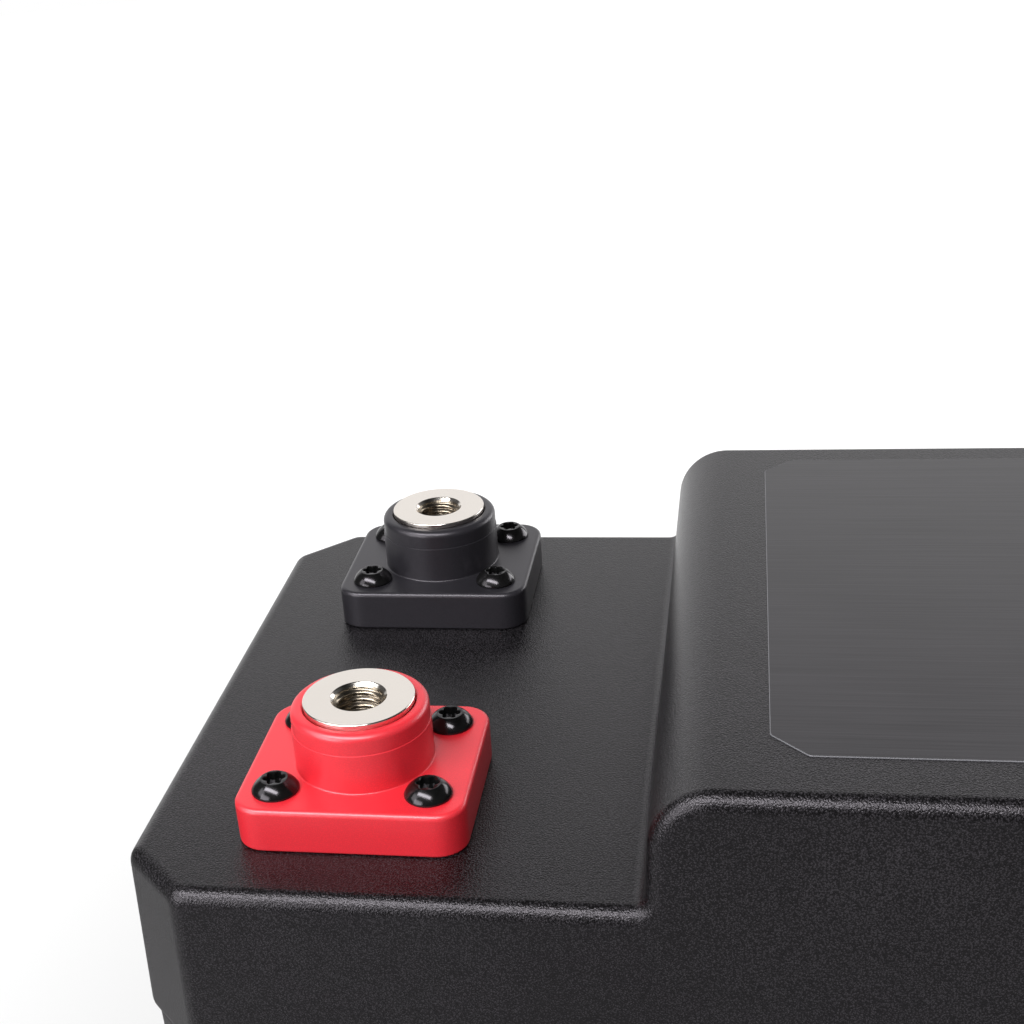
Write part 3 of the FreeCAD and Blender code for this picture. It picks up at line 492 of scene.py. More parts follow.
class BATTERY_OT_lid(bpy.types.Operator):
    """Build the stepped lid with its rounded edges, its drawn-in lip and its sealing tongue"""

    bl_idname = "battery.lid"
    bl_label = "Stepped Lid"

    boss_depth = 9 * MM
    web = 1.25 * MM
    sleeve = 11.2 * MM
    boss = 6 * MM
    gusset_places = (-46 * MM, -20 * MM, 20 * MM, 46 * MM)
    gusset_reach = 16 * MM
    gusset_depth = 19.2 * MM
    gusset_lean = 0.6 * MM
    gusset_root = 0.6
    gusset_shoulder = (5.4 * MM, 5 * MM)
    sunk = 1.6 * MM
    worn = 0.3 * MM

    def execute(self, context):
        sizes = context.scene.battery_housing
        plan = lid_plan(sizes)
        edge = lid_edge_z(sizes)
        tongue_z = case_rim_z(sizes) - sizes.tongue_depth
        shoulder = edge + sizes.shoulder
        outlines = []
        for rise, draw in quarter(1, 6):
            z = edge + sizes.lip_height * rise
            drawn = sizes.lip_draw * draw
            outlines.append(plan.outline(lid_lean(sizes, z) + drawn, z, sizes.corner_radius - drawn))
        section = (
            (sizes.tongue_outside, edge), (sizes.tongue_outside, tongue_z), (sizes.tongue_inside, tongue_z),
            (sizes.tongue_inside, edge), (sizes.skirt_inside, edge), (sizes.skirt_inside, shoulder))
        outlines.extend([plan.outline(offset, z, sizes.corner_radius - offset) for offset, z in section])
        inner = sizes.lid_wall + lid_lean(sizes, shoulder)
        inner_corner = sizes.corner_radius - sizes.lid_wall
        outlines.append(plan.outline(inner, shoulder, inner_corner, SMALLEST_INNER_CORNER))

        skin = Skin()
        outer_base, inner_base = skin.rings(outlines)
        stepped_top(skin, sizes, plan, outer_base, 0, sizes.edge_radius)
        stepped_top(skin, sizes, plan, inner_base, sizes.lid_wall, 0)
        piece("housing_lid", skin, "housing_plastic", ["lid"])
        self.ribs(context.scene.battery_screws, sizes)
        return {"FINISHED"}

    def ribs(self, screws, sizes):
        """Webbed bosses under the deck and gussets behind the step."""
        skin = Skin()
        low = DECK_Z - self.boss_depth
        high = DECK_Z - sizes.lid_wall / 2
        for box_low, box_high in BLOCKS.values():
            x, y = terminal_middle(box_low, box_high)
            dx, dy = screw_reach(screws, box_low, box_high)
            skin.block(x, y, self.sleeve, self.sleeve, low, high)
            for sx in SIDES:
                skin.block(x + sx * dx, y, self.web, dy, low, high)
                skin.block(x, y + sx * dy, dx, self.web, low, high)
                for sy in SIDES:
                    skin.block(x + sx * dx, y + sy * dy, self.boss, self.boss, low, high)
        top = LID_HIGH.z
        step = sizes.step_x
        wall = step + sizes.lid_wall * self.gusset_root
        reach = step + sizes.lid_wall + self.gusset_reach
        across, down = self.gusset_shoulder
        section = [
            (wall, top - self.gusset_depth), (reach, top - sizes.lid_wall), (reach, top - self.sunk),
            (step + sizes.step_top_radius, top - self.sunk), (step + across, top - down),
            (wall + self.gusset_lean, top - sizes.step_top_radius)]
        for y in self.gusset_places:
            sides = (y - self.web, y + self.web)
            skin.solid([[Vector((px, side, pz)) for px, pz in section] for side in sides])
        piece("lid_ribs", skin, "housing_plastic", ["lid"], bevel=self.worn)


class BATTERY_OT_case(bpy.types.Operator):
    """Build the tub below the lid, with its rounded foot, its sealing channel and the cells' ribs"""

    bl_idname = "battery.case"
    bl_label = "Lower Case"

    rib_half = 1.5 * MM
    rib_foot = 4 * MM
    rib_count = 6
    side_gap = 3.5 * MM
    end_gap = 6 * MM
    into_wall = 3.5 * MM
    end_rib_places = (-43.4 * MM, 0, 43.4 * MM)
    cross_rib_gap = 9 * MM
    cross_rib_height = 59 * MM
    cross_rib_inset = 2 * MM
    worn = 0.3 * MM

    def execute(self, context):
        sizes = context.scene.battery_housing
        plan = lid_plan(sizes)
        top = case_rim_z(sizes)
        slope = math.tan(sizes.case_draft)
        rim_inset = sizes.case_inset
        rim_low = top - sizes.rim_height
        flare = rim_low - sizes.rim_flare
        channel = top - sizes.channel_depth
        inner = rim_inset + sizes.case_wall
        radius = sizes.corner_radius
        outlines = []
        for z in (sizes.case_floor, flare):
            outlines.append(plan.outline(inner + (top - z) * slope, z, radius - sizes.case_wall))
        section = (
            (sizes.rim_inside, rim_low), (sizes.rim_inside, top), (sizes.channel_far, top),
            (sizes.channel_far, channel), (sizes.channel_near, channel), (sizes.channel_near, top))
        outlines.extend([plan.outline(offset, z, radius - offset) for offset, z in section])
        for drawn, drop in quarter(sizes.rim_edge, 3):
            outlines.append(plan.outline(rim_inset + drawn, top - drop, radius))
        for z, drawn in quarter(sizes.foot_radius, 8):
            outlines.append(plan.outline(rim_inset + (top - z) * slope + drawn, z, radius - drawn))
        skin = Skin()
        skin.solid(outlines)
        piece("housing_case", skin, "housing_plastic", ["lower_case"])
        self.ribs(plan, rim_low)
        return {"FINISHED"}

    def ribs(self, plan, high):
        """Upright ribs along the long sides and the right end, and the low rib at the left of the cells."""
        skin = Skin()
        half = self.rib_half
        low = self.rib_foot
        face_y = BANDS_HIGH.y + self.side_gap
        face_x = BANDS_HIGH.x + self.end_gap
        wall_x = plan.half_x - self.into_wall
        wall_y = plan.half_y - self.into_wall
        for i in range(self.rib_count):
            x = BANDS_LOW.x + (BANDS_HIGH.x - BANDS_LOW.x) * (i + 0.5) / self.rib_count
            skin.box(x - half, x + half, face_y, wall_y, low, high)
            skin.box(x - half, x + half, -wall_y, -face_y, low, high)
        for y in self.end_rib_places:
            skin.box(face_x, wall_x, y - half, y + half, low, high)
        left = BANDS_LOW.x - self.cross_rib_gap
        reach = wall_y - self.cross_rib_inset
        skin.box(left, left + 2 * half, -reach, reach, low, low + self.cross_rib_height)
        piece("case_ribs", skin, "housing_plastic", ["lower_case"], bevel=self.worn)


# Terminals

def terminal_middle(low, high):
    return (low.x + high.x) / 2, (low.y + high.y) / 2


def screw_reach(screws, low, high):
    return (high.x - low.x) / 2 - screws.inset, (high.y - low.y) / 2 - screws.inset


def plate_outline(half_x, half_y, radius, inset, arc_steps=8, side_points=23):
    """Rounded rectangle, counter-clockwise from the right side, with points along its straight runs."""
    radius = max(radius - inset, SMALLEST_CORNER)
    a = half_x - inset - radius
    b = half_y - inset - radius
    middles = ((a, b), (-a, b), (-a, -b), (a, -b))
    points = []
    for corner, (cx, cy) in enumerate(middles):
        for angle in arc(90 * corner, 90 * corner + 90, arc_steps):
            points.append(Vector((cx + radius * math.cos(angle), cy + radius * math.sin(angle))))
        nx, ny = middles[(corner + 1) % 4]
        end = math.radians(90 * corner + 90)
        start = points[-1]
        stop = Vector((nx + radius * math.cos(end), ny + radius * math.sin(end)))
        points.extend([start.lerp(stop, (i + 1) / (side_points + 1)) for i in range(side_points)])
    return points


# The parting line's section in millimetres: how far it stands in from the boss, and its height.
PARTING_LINE = ((0.03, 0.05), (0, -0.05))
PARTING_TOP = 0.12 * MM


def terminal_block(name, finish_name, sizes, low, high):
    """One block as a skin from its bore, over the boss and the plate, to its underside."""
    x, y = terminal_middle(low, high)
    half_x = (high.x - low.x) / 2
    half_y = (high.y - low.y) / 2
    plate_top = low.z + sizes.block_height
    boss_top = high.z
    seat_z = POSTS_HIGH.z - sizes.ring_height
    directions = [p.normalized() for p in plate_outline(half_x, half_y, sizes.corner_radius, 0)]
    outlines = []

    def lay(points, z):
        outlines.append([Vector((x + p.x, y + p.y, z)) for p in points])

    def circle(radius, z):
        lay([radius * d for d in directions], z)

    def rectangle(inset, z):
        lay(plate_outline(half_x, half_y, sizes.corner_radius, inset), z)

    circle(sizes.bore_radius, low.z)
    circle(sizes.bore_radius, seat_z)
    seat = sizes.ring_radius + sizes.ring_play
    circle(seat, seat_z)
    circle(seat, boss_top - sizes.seat_ease)
    circle(seat + sizes.seat_ease, boss_top)
    upper = sizes.boss_radius - sizes.parting_step
    for drawn, drop in quarter(sizes.boss_rim, 8):
        circle(upper - drawn, boss_top - drop)
    parting = plate_top + sizes.parting_height
    circle(upper, parting + PARTING_TOP)
    for drawn, rise in PARTING_LINE:
        circle(sizes.boss_radius - drawn * MM, parting + rise * MM)
    for rise, drawn in quarter(sizes.boss_foot, 5):
        circle(sizes.boss_radius + drawn, plate_top + rise)
    for drawn, drop in quarter(sizes.top_round, 7):
        rectangle(drawn, plate_top - drop)
    for rise, drawn in quarter(sizes.bottom_round, 5):
        rectangle(drawn, low.z + rise)
    skin = Skin()
    bore, underside = skin.rings(outlines)
    skin.bridge(underside, bore)
    piece(name + "_moulding", skin, finish_name, [name])


class BATTERY_OT_blocks(bpy.types.Operator):
    """Build the red and the black terminal block with boss, parting line and rounded edges"""

    bl_idname = "battery.blocks"
    bl_label = "Terminal Blocks"

    def execute(self, context):
        sizes = context.scene.battery_terminals
        finishes = {"positive_terminal_block": "red_plastic", "negative_terminal_block": "black_plastic"}
        for name, (low, high) in BLOCKS.items():
            terminal_block(name, finishes[name], sizes, low, high)
        return {"FINISHED"}


def thread_radius(sizes, down, angle, blend=0.06 * MM):
    """Radius of the hole at a depth: the rounded thread, widened by the chamfer at the mouth."""
    middle = (sizes.thread_root + sizes.thread_crest) / 2
    swing = (sizes.thread_root - sizes.thread_crest) / 2
    thread = middle + swing * math.cos(2 * math.pi * down / sizes.thread_pitch + angle)
    cone = sizes.mouth_radius - down
    return (thread + cone + math.hypot(thread - cone, blend)) / 2


class BATTERY_OT_posts(bpy.types.Operator):
    """Build the plated posts with their contact rings and cut threads"""

    bl_idname = "battery.posts"
    bl_label = "Threaded Posts"

    rows_per_turn = 20
    rows_left_plated = 6
    tip_radius = 0.3 * MM
    mouth_ease = (0.1 * MM, 0.02 * MM)
    ring_ease = 0.2 * MM

    def execute(self, context):
        sizes = context.scene.battery_terminals
        skin = Skin()
        for low, high in BLOCKS.values():
            self.post(skin, sizes, *terminal_middle(low, high))
        piece("plated_posts", skin, "plated_brass", ["terminal_posts"], second="cut_thread")
        return {"FINISHED"}

    def post(self, skin, sizes, x, y):
        top = POSTS_HIGH.z
        depth = sizes.thread_depth
        turning = Turning(x, y)
        turning.circles(
            (self.tip_radius, top - depth - sizes.drill_point), (sizes.thread_crest, top - depth))
        rows = int(depth / sizes.thread_pitch * self.rows_per_turn)
        for row in range(rows, 0, -1):
            down = depth * row / rows
            turning.ring(lambda a: thread_radius(sizes, down, a), top - down)
        wider, lower = self.mouth_ease
        turning.circles((sizes.mouth_radius, top - lower), (sizes.mouth_radius + wider, top))
        for drawn, drop in quarter(sizes.ring_round, 6):
            turning.circles((sizes.ring_radius - drawn, top - drop))
        seat = top - sizes.ring_height
        low = POSTS_LOW.z
        ease = sizes.post_ease
        turning.circles(
            (sizes.ring_radius, seat + self.ring_ease), (sizes.ring_radius - self.ring_ease, seat),
            (sizes.post_radius, seat), (sizes.post_radius, low + ease), (sizes.post_radius - ease, low),
            (sizes.lower_bore + ease, low), (sizes.lower_bore, low + ease),
            (sizes.lower_bore, low + sizes.lower_depth))
        start = len(skin.faces)
        skin.solid(turning.outlines)
        # Below the mouth the thread gets a darker brown grey: partly bare cut metal, partly painted shade
        # inside the hole.
        skin.mark(start, start + (rows - self.rows_left_plated) * len(turning.angles))


# Screws

# The socket's section in millimetres: how far it stands out from the lobes, and its height over the floor
# or, at the mouth, over the crown. The crown's edge is given by how far it is drawn in and dropped.
SOCKET_FLOOR = ((-0.25, 0), (-0.03, 0), (0, 0.1))
SOCKET_MOUTH = ((0, -0.16), (0.04, -0.05), (0.14, 0))
CROWN_EDGE = ((0.12, 0), (0.04, 0.012))
SOCKET_TIP_RADIUS = 0.1 * MM
SOCKET_TIP_DEPTH = 0.3 * MM
DOME_DROP = 0.04 * MM
DOME_ROWS = 14
EASED_RIM = 0.4
HEAD_EASE = 0.12 * MM
SHANK_TIP = 0.8 * MM


def screw_skin(screws):
    """Button screw standing on its seat: socket, crown, dome, rim and shank."""
    turning = Turning()
    top = screws.head_height
    bottom = top - screws.socket_depth
    turning.circles((SOCKET_TIP_RADIUS, bottom - SOCKET_TIP_DEPTH))
    for level, section in ((bottom, SOCKET_FLOOR), (top, SOCKET_MOUTH)):
        for grown, rise in section:
            lobes = screws.socket_radius + grown * MM
            turning.ring(lambda a: lobes + screws.socket_wave * math.cos(6 * a), level + rise * MM)
    crown = screws.crown_radius
    turning.circles(*[(crown - drawn * MM, top - drop * MM) for drawn, drop in CROWN_EDGE])
    rim = screws.rim_height
    drop = top - DOME_DROP - rim
    middle = (screws.head_radius ** 2 - crown ** 2 - drop ** 2) / (2 * drop)
    sphere = math.hypot(screws.head_radius, middle)
    start = math.asin(crown / sphere)
    stop = math.asin(screws.head_radius / sphere)
    for i in range(DOME_ROWS + 1):
        angle = start + (stop - start) * i / DOME_ROWS
        turning.circles((sphere * math.sin(angle), rim - middle + sphere * math.cos(angle)))
    turning.circles(
        (screws.head_radius, rim * EASED_RIM), (screws.head_radius - HEAD_EASE, 0),
        (screws.shank_radius, 0), (screws.shank_radius, SHANK_TIP - screws.length),
        (screws.tip_radius, -screws.length))
    skin = Skin()
    skin.solid(turning.outlines)
    return skin


def placing_tree():
    """Geometry tree that stands a turned copy of a screw on every point."""
    tree = bpy.data.node_groups.new("Screws On Points", "GeometryNodeTree")
    for name, kind in (("Points", "Geometry"), ("Screw", "Object"), ("Finish", "Material"),
                       ("Most Turn", "Float"), ("Seed", "Int")):
        tree.interface.new_socket(name, in_out="INPUT", socket_type="NodeSocket" + kind)
    tree.interface.new_socket("Screws", in_out="OUTPUT", socket_type="NodeSocketGeometry")
    entry, source, turn, axis, rotation, placed, real, paint, leave = [tree.nodes.new(kind) for kind in (
        "NodeGroupInput", "GeometryNodeObjectInfo", "FunctionNodeRandomValue", "ShaderNodeCombineXYZ",
        "FunctionNodeEulerToRotation", "GeometryNodeInstanceOnPoints", "GeometryNodeRealizeInstances",
        "GeometryNodeSetMaterial", "NodeGroupOutput")]
    source.inputs["As Instance"].default_value = True
    turn.data_type = "FLOAT"
    most = [s for s in turn.inputs if s.type == "VALUE" and s.enabled][1]
    drawn = [s for s in turn.outputs if s.type == "VALUE" and s.enabled][0]
    for start, end in (
            (entry.outputs["Screw"], source.inputs["Object"]),
            (entry.outputs["Most Turn"], most),
            (entry.outputs["Seed"], turn.inputs["Seed"]),
            (drawn, axis.inputs["Z"]),
            (axis.outputs[0], rotation.inputs[0]),
            (entry.outputs["Points"], placed.inputs["Points"]),
            (source.outputs["Geometry"], placed.inputs["Instance"]),
            (rotation.outputs[0], placed.inputs["Rotation"]),
            (placed.outputs[0], real.inputs[0]),
            (real.outputs[0], paint.inputs["Geometry"]),
            (entry.outputs["Finish"], paint.inputs["Material"]),
            (paint.outputs[0], leave.inputs[0])):
        tree.links.new(start, end)
    return tree


def plain_mesh(obj, name):
    """Plain mesh of an object as its modifiers leave it."""
    graph = bpy.context.evaluated_depsgraph_get()
    mesh = bpy.data.meshes.new_from_object(obj.evaluated_get(graph))
    mesh.name = name
    return mesh


class BATTERY_OT_screws(bpy.types.Operator):
    """Stand eight glossy black button screws on the terminal blocks"""

    bl_idname = "battery.screws"
    bl_label = "Button Screws"

    def execute(self, context):
        scene = context.scene
        screws = scene.battery_screws
        places = []
        for low, high in BLOCKS.values():
            x, y = terminal_middle(low, high)
            dx, dy = screw_reach(screws, low, high)
            seat = low.z + scene.battery_terminals.block_height
            places.extend([(x + sx * dx, y + sy * dy, seat) for sx in SIDES for sy in SIDES])
        points = bpy.data.meshes.new("screw_points")
        points.from_pydata(places, [], [])
        model = skin_mesh("button_screw_model", screw_skin(screws), SCREW_SMOOTH_ANGLE)
        source = stand("button_screw_model", model)
        obj = stand("button_screws", points)

        tree = placing_tree()
        modifier = obj.modifiers.new("Screws", "NODES")
        modifier.node_group = tree
        values = {"Screw": source, "Finish": finish("black_screw"), "Most Turn": 2 * math.pi,
                  "Seed": screws.seed}
        for item in tree.interface.items_tree:
            if item.item_type == "SOCKET" and item.name in values:
                modifier[item.identifier] = values[item.name]
        mesh = plain_mesh(obj, "button_screws")
        if len(mesh.polygons) != len(places) * len(model.polygons):
            raise RuntimeError("the screws were not placed on every point")
        obj.modifiers.remove(modifier)
        obj.data = mesh
        bpy.data.objects.remove(source)
        dress(obj, ["block_screws"])
        return {"FINISHED"}


class BATTERY_OT_label(bpy.types.Operator):
    """Lay the bare label film with its cut corners and rounded edge on the raised top"""

    bl_idname = "battery.label"
    bl_label = "Label Film"

    corner_cut = 6.8 * MM
    corner_radius = 1.6 * MM
    edge_share = 0.7

    def execute(self, context):
        low, high = LABEL_LOW, LABEL_HIGH
        middle = ((low.x + high.x) / 2, (low.y + high.y) / 2)
        plan = Plan((high.x - low.x) / 2, (high.y - low.y) / 2, self.corner_cut, middle, steps=4)
        outlines = []
        for drawn, drop in quarter((high.z - low.z) * self.edge_share, 4):
            outlines.append(plan.outline(drawn, high.z - drop, self.corner_radius - drawn))
        outlines.append(plan.outline(0, low.z, self.corner_radius))
        skin = Skin()
        skin.solid(outlines)
        # The side faces get a lighter grey: partly the film's pale core, partly a painted highlight along
        # its edge.
        skin.mark(0, len(skin.faces) - 2)
        piece("label_film", skin, "label_film", ["top_label"], second="film_edge")
        return {"FINISHED"}


# Finishes

def feed(tree, sockets, values):
    """Gives each socket its value, a plain one or another socket."""
    for socket, value in zip(sockets, values):
        if isinstance(value, bpy.types.NodeSocket):
            tree.links.new(value, socket)
        else:
            socket.default_value = value


def preset(sockets, **values):
    """Sets a node's plain values by the names of their sockets, with _ for a space."""
    for name, value in values.items():
        sockets[name.replace("_", " ")].default_value = value


def maths(tree, operation, first, second=0.5, third=0.0):
    """One Math node; each value is a number or a socket."""
    node = tree.nodes.new("ShaderNodeMath")
    node.operation = operation
    feed(tree, node.inputs, (first, second, third))
    return node.outputs[0]


def sloped(tree, value, slope, start):
    """Value times a slope, on top of a start."""
    return maths(tree, "MULTIPLY_ADD", value, slope, start)


def vector_maths(tree, operation, first, second=(0, 0, 0), scale=1.0):
    """One Vector Math node; each value is a plain one or a socket."""
    node = tree.nodes.new("ShaderNodeVectorMath")
    node.operation = operation
    feed(tree, node.inputs, (first, second, (0, 0, 0), scale))
    return node.outputs["Value" if operation in ("LENGTH", "DOT_PRODUCT") else "Vector"]


def joined(tree, *values):
    """Vector of up to three numbers or sockets."""
    node = tree.nodes.new("ShaderNodeCombineXYZ")
    feed(tree, node.inputs, values)
    return node.outputs[0]


def split(tree, vector):
    node = tree.nodes.new("ShaderNodeSeparateXYZ")
    tree.links.new(vector, node.inputs[0])
    return node.outputs


def object_place(tree):
    """Object coordinates of the surface."""
    return tree.nodes.new("ShaderNodeTexCoord").outputs["Object"]


def scaled(tree, vector, size):
    """Coordinates divided by a size in metres."""
    return vector_maths(tree, "SCALE", vector, scale=maths(tree, "DIVIDE", 1.0, size))


def noise(tree, vector, detail=2.0, roughness=0.5):
    node = tree.nodes.new("ShaderNodeTexNoise")
    preset(node.inputs, Scale=1.0, Detail=detail, Roughness=roughness)
    tree.links.new(vector, node.inputs["Vector"])
    return node.outputs["Fac"]


def cells(tree, vector):
    """Distance from the middles of rounded cells."""
    node = tree.nodes.new("ShaderNodeTexVoronoi")
    node.feature = "SMOOTH_F1"
    preset(node.inputs, Scale=1.0, Smoothness=0.6)
    tree.links.new(vector, node.inputs["Vector"])
    return node.outputs["Distance"]


def effect_group(name, values):
    """New effect with named inputs, and what it reads: those inputs and the surface's place."""
    tree = bpy.data.node_groups.new(name, "ShaderNodeTree")
    for socket_name, value in values.items():
        socket = tree.interface.new_socket(socket_name, in_out="INPUT", socket_type="NodeSocketFloat")
        socket.default_value = value
    for socket_name in ("Height", "Mask", "Broad"):
        tree.interface.new_socket(socket_name, in_out="OUTPUT", socket_type="NodeSocketFloat")
    return tree, tree.nodes.new("NodeGroupInput").outputs, object_place(tree)


def wire_effect(tree, height, mask, broad):
    """Wires what an effect puts out: bumps, a fine mask and a broad soft unevenness."""
    leave = tree.nodes.new("NodeGroupOutput").inputs
    for name, value in (("Height", height), ("Mask", mask), ("Broad", broad)):
        tree.links.new(value, leave[name])
    return tree


def moulded_grain():
    """Pebbled grain of a moulded plastic: bumps, painted glints on the pebbles and broad soft unevenness.
    """
    tree, entry, place = effect_group("Moulded Grain", {"Size": 0.5 * MM, "Broad Size": 60 * MM})
    fine = scaled(tree, place, entry["Size"])
    pebbles = cells(tree, fine)
    speckle = noise(tree, fine)
    height = sloped(tree, pebbles, -0.8, speckle)
    # Painted glints: the pebbles' middles and the speckle lighten the base colour, standing in for light
    # sparkling on the grain.
    painted_glints = sloped(tree, pebbles, -4.0, sloped(tree, speckle, 2.0, 0.8))
    return wire_effect(tree, height, painted_glints, noise(tree, scaled(tree, place, entry["Broad Size"]), 3.0))


def fine_streaks():
    """Long streaks along X, as on rolled metal or drawn film."""
    tree, entry, place = effect_group(
        "Fine Streaks", {"Size": 0.3 * MM, "Stretch": 60.0, "Broad Size": 40 * MM})
    pressed = joined(tree, maths(tree, "DIVIDE", 1.0, entry["Stretch"]), 1.0, 1.0)
    line = vector_maths(tree, "MULTIPLY", scaled(tree, place, entry["Size"]), pressed)
    streak = noise(tree, line, 3.0, 0.6)
    mask = sloped(tree, streak, 2.4, -0.7)
    return wire_effect(tree, streak, mask, noise(tree, scaled(tree, place, entry["Broad Size"])))


def turned_rings():
    """Fine turning marks round the nearer of two upright axes, one each side of the middle plane."""
    tree, entry, place = effect_group(
        "Turning Marks", {"Size": 0.12 * MM, "Axis X": -0.195, "Axis Y": 0.046, "Broad Size": 9 * MM})
    x, y, _ = split(tree, place)
    dx = maths(tree, "SUBTRACT", x, entry["Axis X"])
    dy = maths(tree, "SUBTRACT", maths(tree, "ABSOLUTE", y), entry["Axis Y"])
    radius = maths(tree, "SQRT", maths(tree, "MULTIPLY_ADD", dx, dx, maths(tree, "MULTIPLY", dy, dy)))
    mark = noise(tree, joined(tree, maths(tree, "DIVIDE", radius, entry["Size"])))
    mask = sloped(tree, mark, 2.0, -0.5)
    return wire_effect(tree, mark, mask, noise(tree, scaled(tree, place, entry["Broad Size"])))


EFFECTS = {"grain": moulded_grain, "streaks": fine_streaks, "turned": turned_rings}
EFFECT_GROUPS = {}
COAT_ROUGHNESS = 0.12
PLASTIC_TINT = (0.98, 0.92, 1.0, 1)
FINE_SHARE, BROAD_SHARE, SHARE_START = 0.6, 0.8, -0.2

# Each finish: effect, size of its pattern and depth of its bumps in millimetres, colour, how much the
# colour varies (on the grained finishes, the strength of their painted glints), roughness, how much it
# varies, metal share, specular level, coat.
FINISHES = {
    "housing_plastic": ("grain", 0.35, 0.075, "housing", 0.95, 0.31, 0.06, 0, 0.42, 0),
    "label_film": ("streaks", 0.6, 0.020, "label", 0.60, 0.30, 0.10, 0, 0.42, 0),
    "red_plastic": ("grain", 0.22, 0.006, "red_block", 0.10, 0.38, 0.06, 0, 1.0, 0),
    "black_plastic": ("grain", 0.22, 0.006, "black_block", 0.2, 0.36, 0.06, 0, 0.60, 0),
    "plated_brass": ("turned", 0.10, 0.0012, "plating", 0.05, 0.17, 0.06, 1, 0.5, 0),
    "black_screw": ("grain", 0.25, 0.001, "screws", 0.3, 0.18, 0.05, 0, 0.45, 0),
    # The thread deep in the hole: a darker brown grey, partly bare cut metal and partly painted shade of
    # the hole.
    "cut_thread": ("turned", 0.10, 0.0008, (0.34, 0.29, 0.23), 0.10, 0.26, 0.06, 1, 0.5, 0),
    # The label film's side faces: a lighter grey, partly its pale core and partly a painted edge highlight.
    "film_edge": ("streaks", 0.4, 0.004, (0.13, 0.13, 0.14), 0.15, 0.35, 0.06, 0, 0.5, 0),
    "sealant": ("grain", 1.2, 0.08, (0.03, 0.03, 0.03), 0.3, 0.6, 0.1, 0, 0.4, 0),
    "plain_brass": ("streaks", 0.2, 0.004, (0.70, 0.48, 0.20), 0.12, 0.30, 0.12, 1, 0.5, 0),
    "rubber_pad": ("grain", 0.6, 0.03, (0.025, 0.025, 0.026), 0.3, 0.72, 0.12, 0, 0.35, 0),
    "zinc_steel": ("streaks", 0.25, 0.006, (0.58, 0.60, 0.62), 0.12, 0.34, 0.14, 1, 0.5, 0),
    "cell_film": ("grain", 5.0, 0.02, (0.012, 0.085, 0.32), 0.25, 0.26, 0.08, 0, 0.5, 0.4),
    "insulating_board": ("streaks", 0.5, 0.01, (0.42, 0.50, 0.28), 0.22, 0.45, 0.1, 0, 0.4, 0),
    "end_aluminium": ("streaks", 0.22, 0.006, (0.70, 0.70, 0.71), 0.10, 0.36, 0.14, 1, 0.5, 0),
    "foam": ("grain", 1.1, 0.22, (0.035, 0.035, 0.037), 0.4, 0.88, 0.08, 0, 0.25, 0),
    "frame_plastic": ("grain", 0.5, 0.02, (0.035, 0.035, 0.04), 0.25, 0.5, 0.1, 0, 0.4, 0),
    "nickel_copper": ("streaks", 0.3, 0.003, (0.74, 0.69, 0.62), 0.08, 0.24, 0.1, 1, 0.5, 0),
    "board_green": ("streaks", 0.8, 0.006, (0.008, 0.12, 0.045), 0.2, 0.28, 0.08, 0, 0.5, 0.3),
    "component_black": ("grain", 0.3, 0.012, (0.012, 0.012, 0.012), 0.25, 0.5, 0.1, 0, 0.4, 0),
    "capacitor_yellow": ("grain", 0.5, 0.01, (0.62, 0.36, 0.03), 0.12, 0.35, 0.08, 0, 0.45, 0),
    "connector_white": ("grain", 0.4, 0.008, (0.74, 0.72, 0.66), 0.08, 0.4, 0.08, 0, 0.45, 0),
    "flex_amber": ("streaks", 0.6, 0.004, (0.42, 0.16, 0.015), 0.2, 0.22, 0.08, 0, 0.5, 0.3),
}


def finish(name):
    """Material of a slot, made the first time that it is asked for."""
    found = bpy.data.materials.get("finish_" + name)
    if found:
        return found
    effect, size, depth, colour, tint, roughness, spread, metal, specular, coat = FINISHES[name]
    if isinstance(colour, str):
        colour = getattr(bpy.context.scene.battery_colours, colour)
    material = bpy.data.materials.new("finish_" + name)
    material.use_nodes = True
    tree = material.node_tree
    surface = tree.nodes["Principled BSDF"].inputs
    preset(surface, Metallic=metal, Specular_IOR_Level=specular)
    preset(surface, Coat_Weight=coat, Coat_Roughness=COAT_ROUGHNESS)
    if not metal:
        preset(surface, Specular_Tint=PLASTIC_TINT)
    if effect not in EFFECT_GROUPS:
        EFFECT_GROUPS[effect] = EFFECTS[effect]()
    pattern = tree.nodes.new("ShaderNodeGroup")
    pattern.node_tree = EFFECT_GROUPS[effect]
    pattern.inputs["Size"].default_value = size * MM

    # The fine mask mixes a darker and a lighter copy of the colour; on the grained finishes its bright
    # specks are painted glints.
    shade = tree.nodes.new("ShaderNodeMix")
    shade.data_type = "RGBA"
    share, dark, light = [s for s in shade.inputs if s.enabled]
    dark.default_value = (*[c * (1 - tint) for c in colour], 1)
    light.default_value = (*[min(1, c * (1 + tint)) for c in colour], 1)
    broad = pattern.outputs["Broad"]
    mixed = sloped(tree, pattern.outputs["Mask"], FINE_SHARE, sloped(tree, broad, BROAD_SHARE, SHARE_START))
    tree.links.new(mixed, share)
    tree.links.new([s for s in shade.outputs if s.enabled][0], surface["Base Color"])
    tree.links.new(sloped(tree, broad, spread, roughness - spread / 2), surface["Roughness"])
    bump = tree.nodes.new("ShaderNodeBump")
    bump.inputs["Distance"].default_value = depth * MM
    tree.links.new(pattern.outputs["Height"], bump.inputs["Height"])
    tree.links.new(bump.outputs[0], surface["Normal"])
    return material


class BATTERY_OT_inside(bpy.types.Operator):
    """Give every solid that is kept from the model its own finish"""

    bl_idname = "battery.inside"
    bl_label = "Finishes Of The Kept Solids"

    def execute(self, context):
        slots = {part["node"]: part["material_slot"] for part in frame["record"]["subparts"]}
        for name, obj in frame["nodes"].items():
            if name not in slots:
                raise RuntimeError("no slot is recorded for " + name)
            obj.data.materials.clear()
            obj.data.materials.append(finish(slots[name]))
        return {"FINISHED"}


# Studio

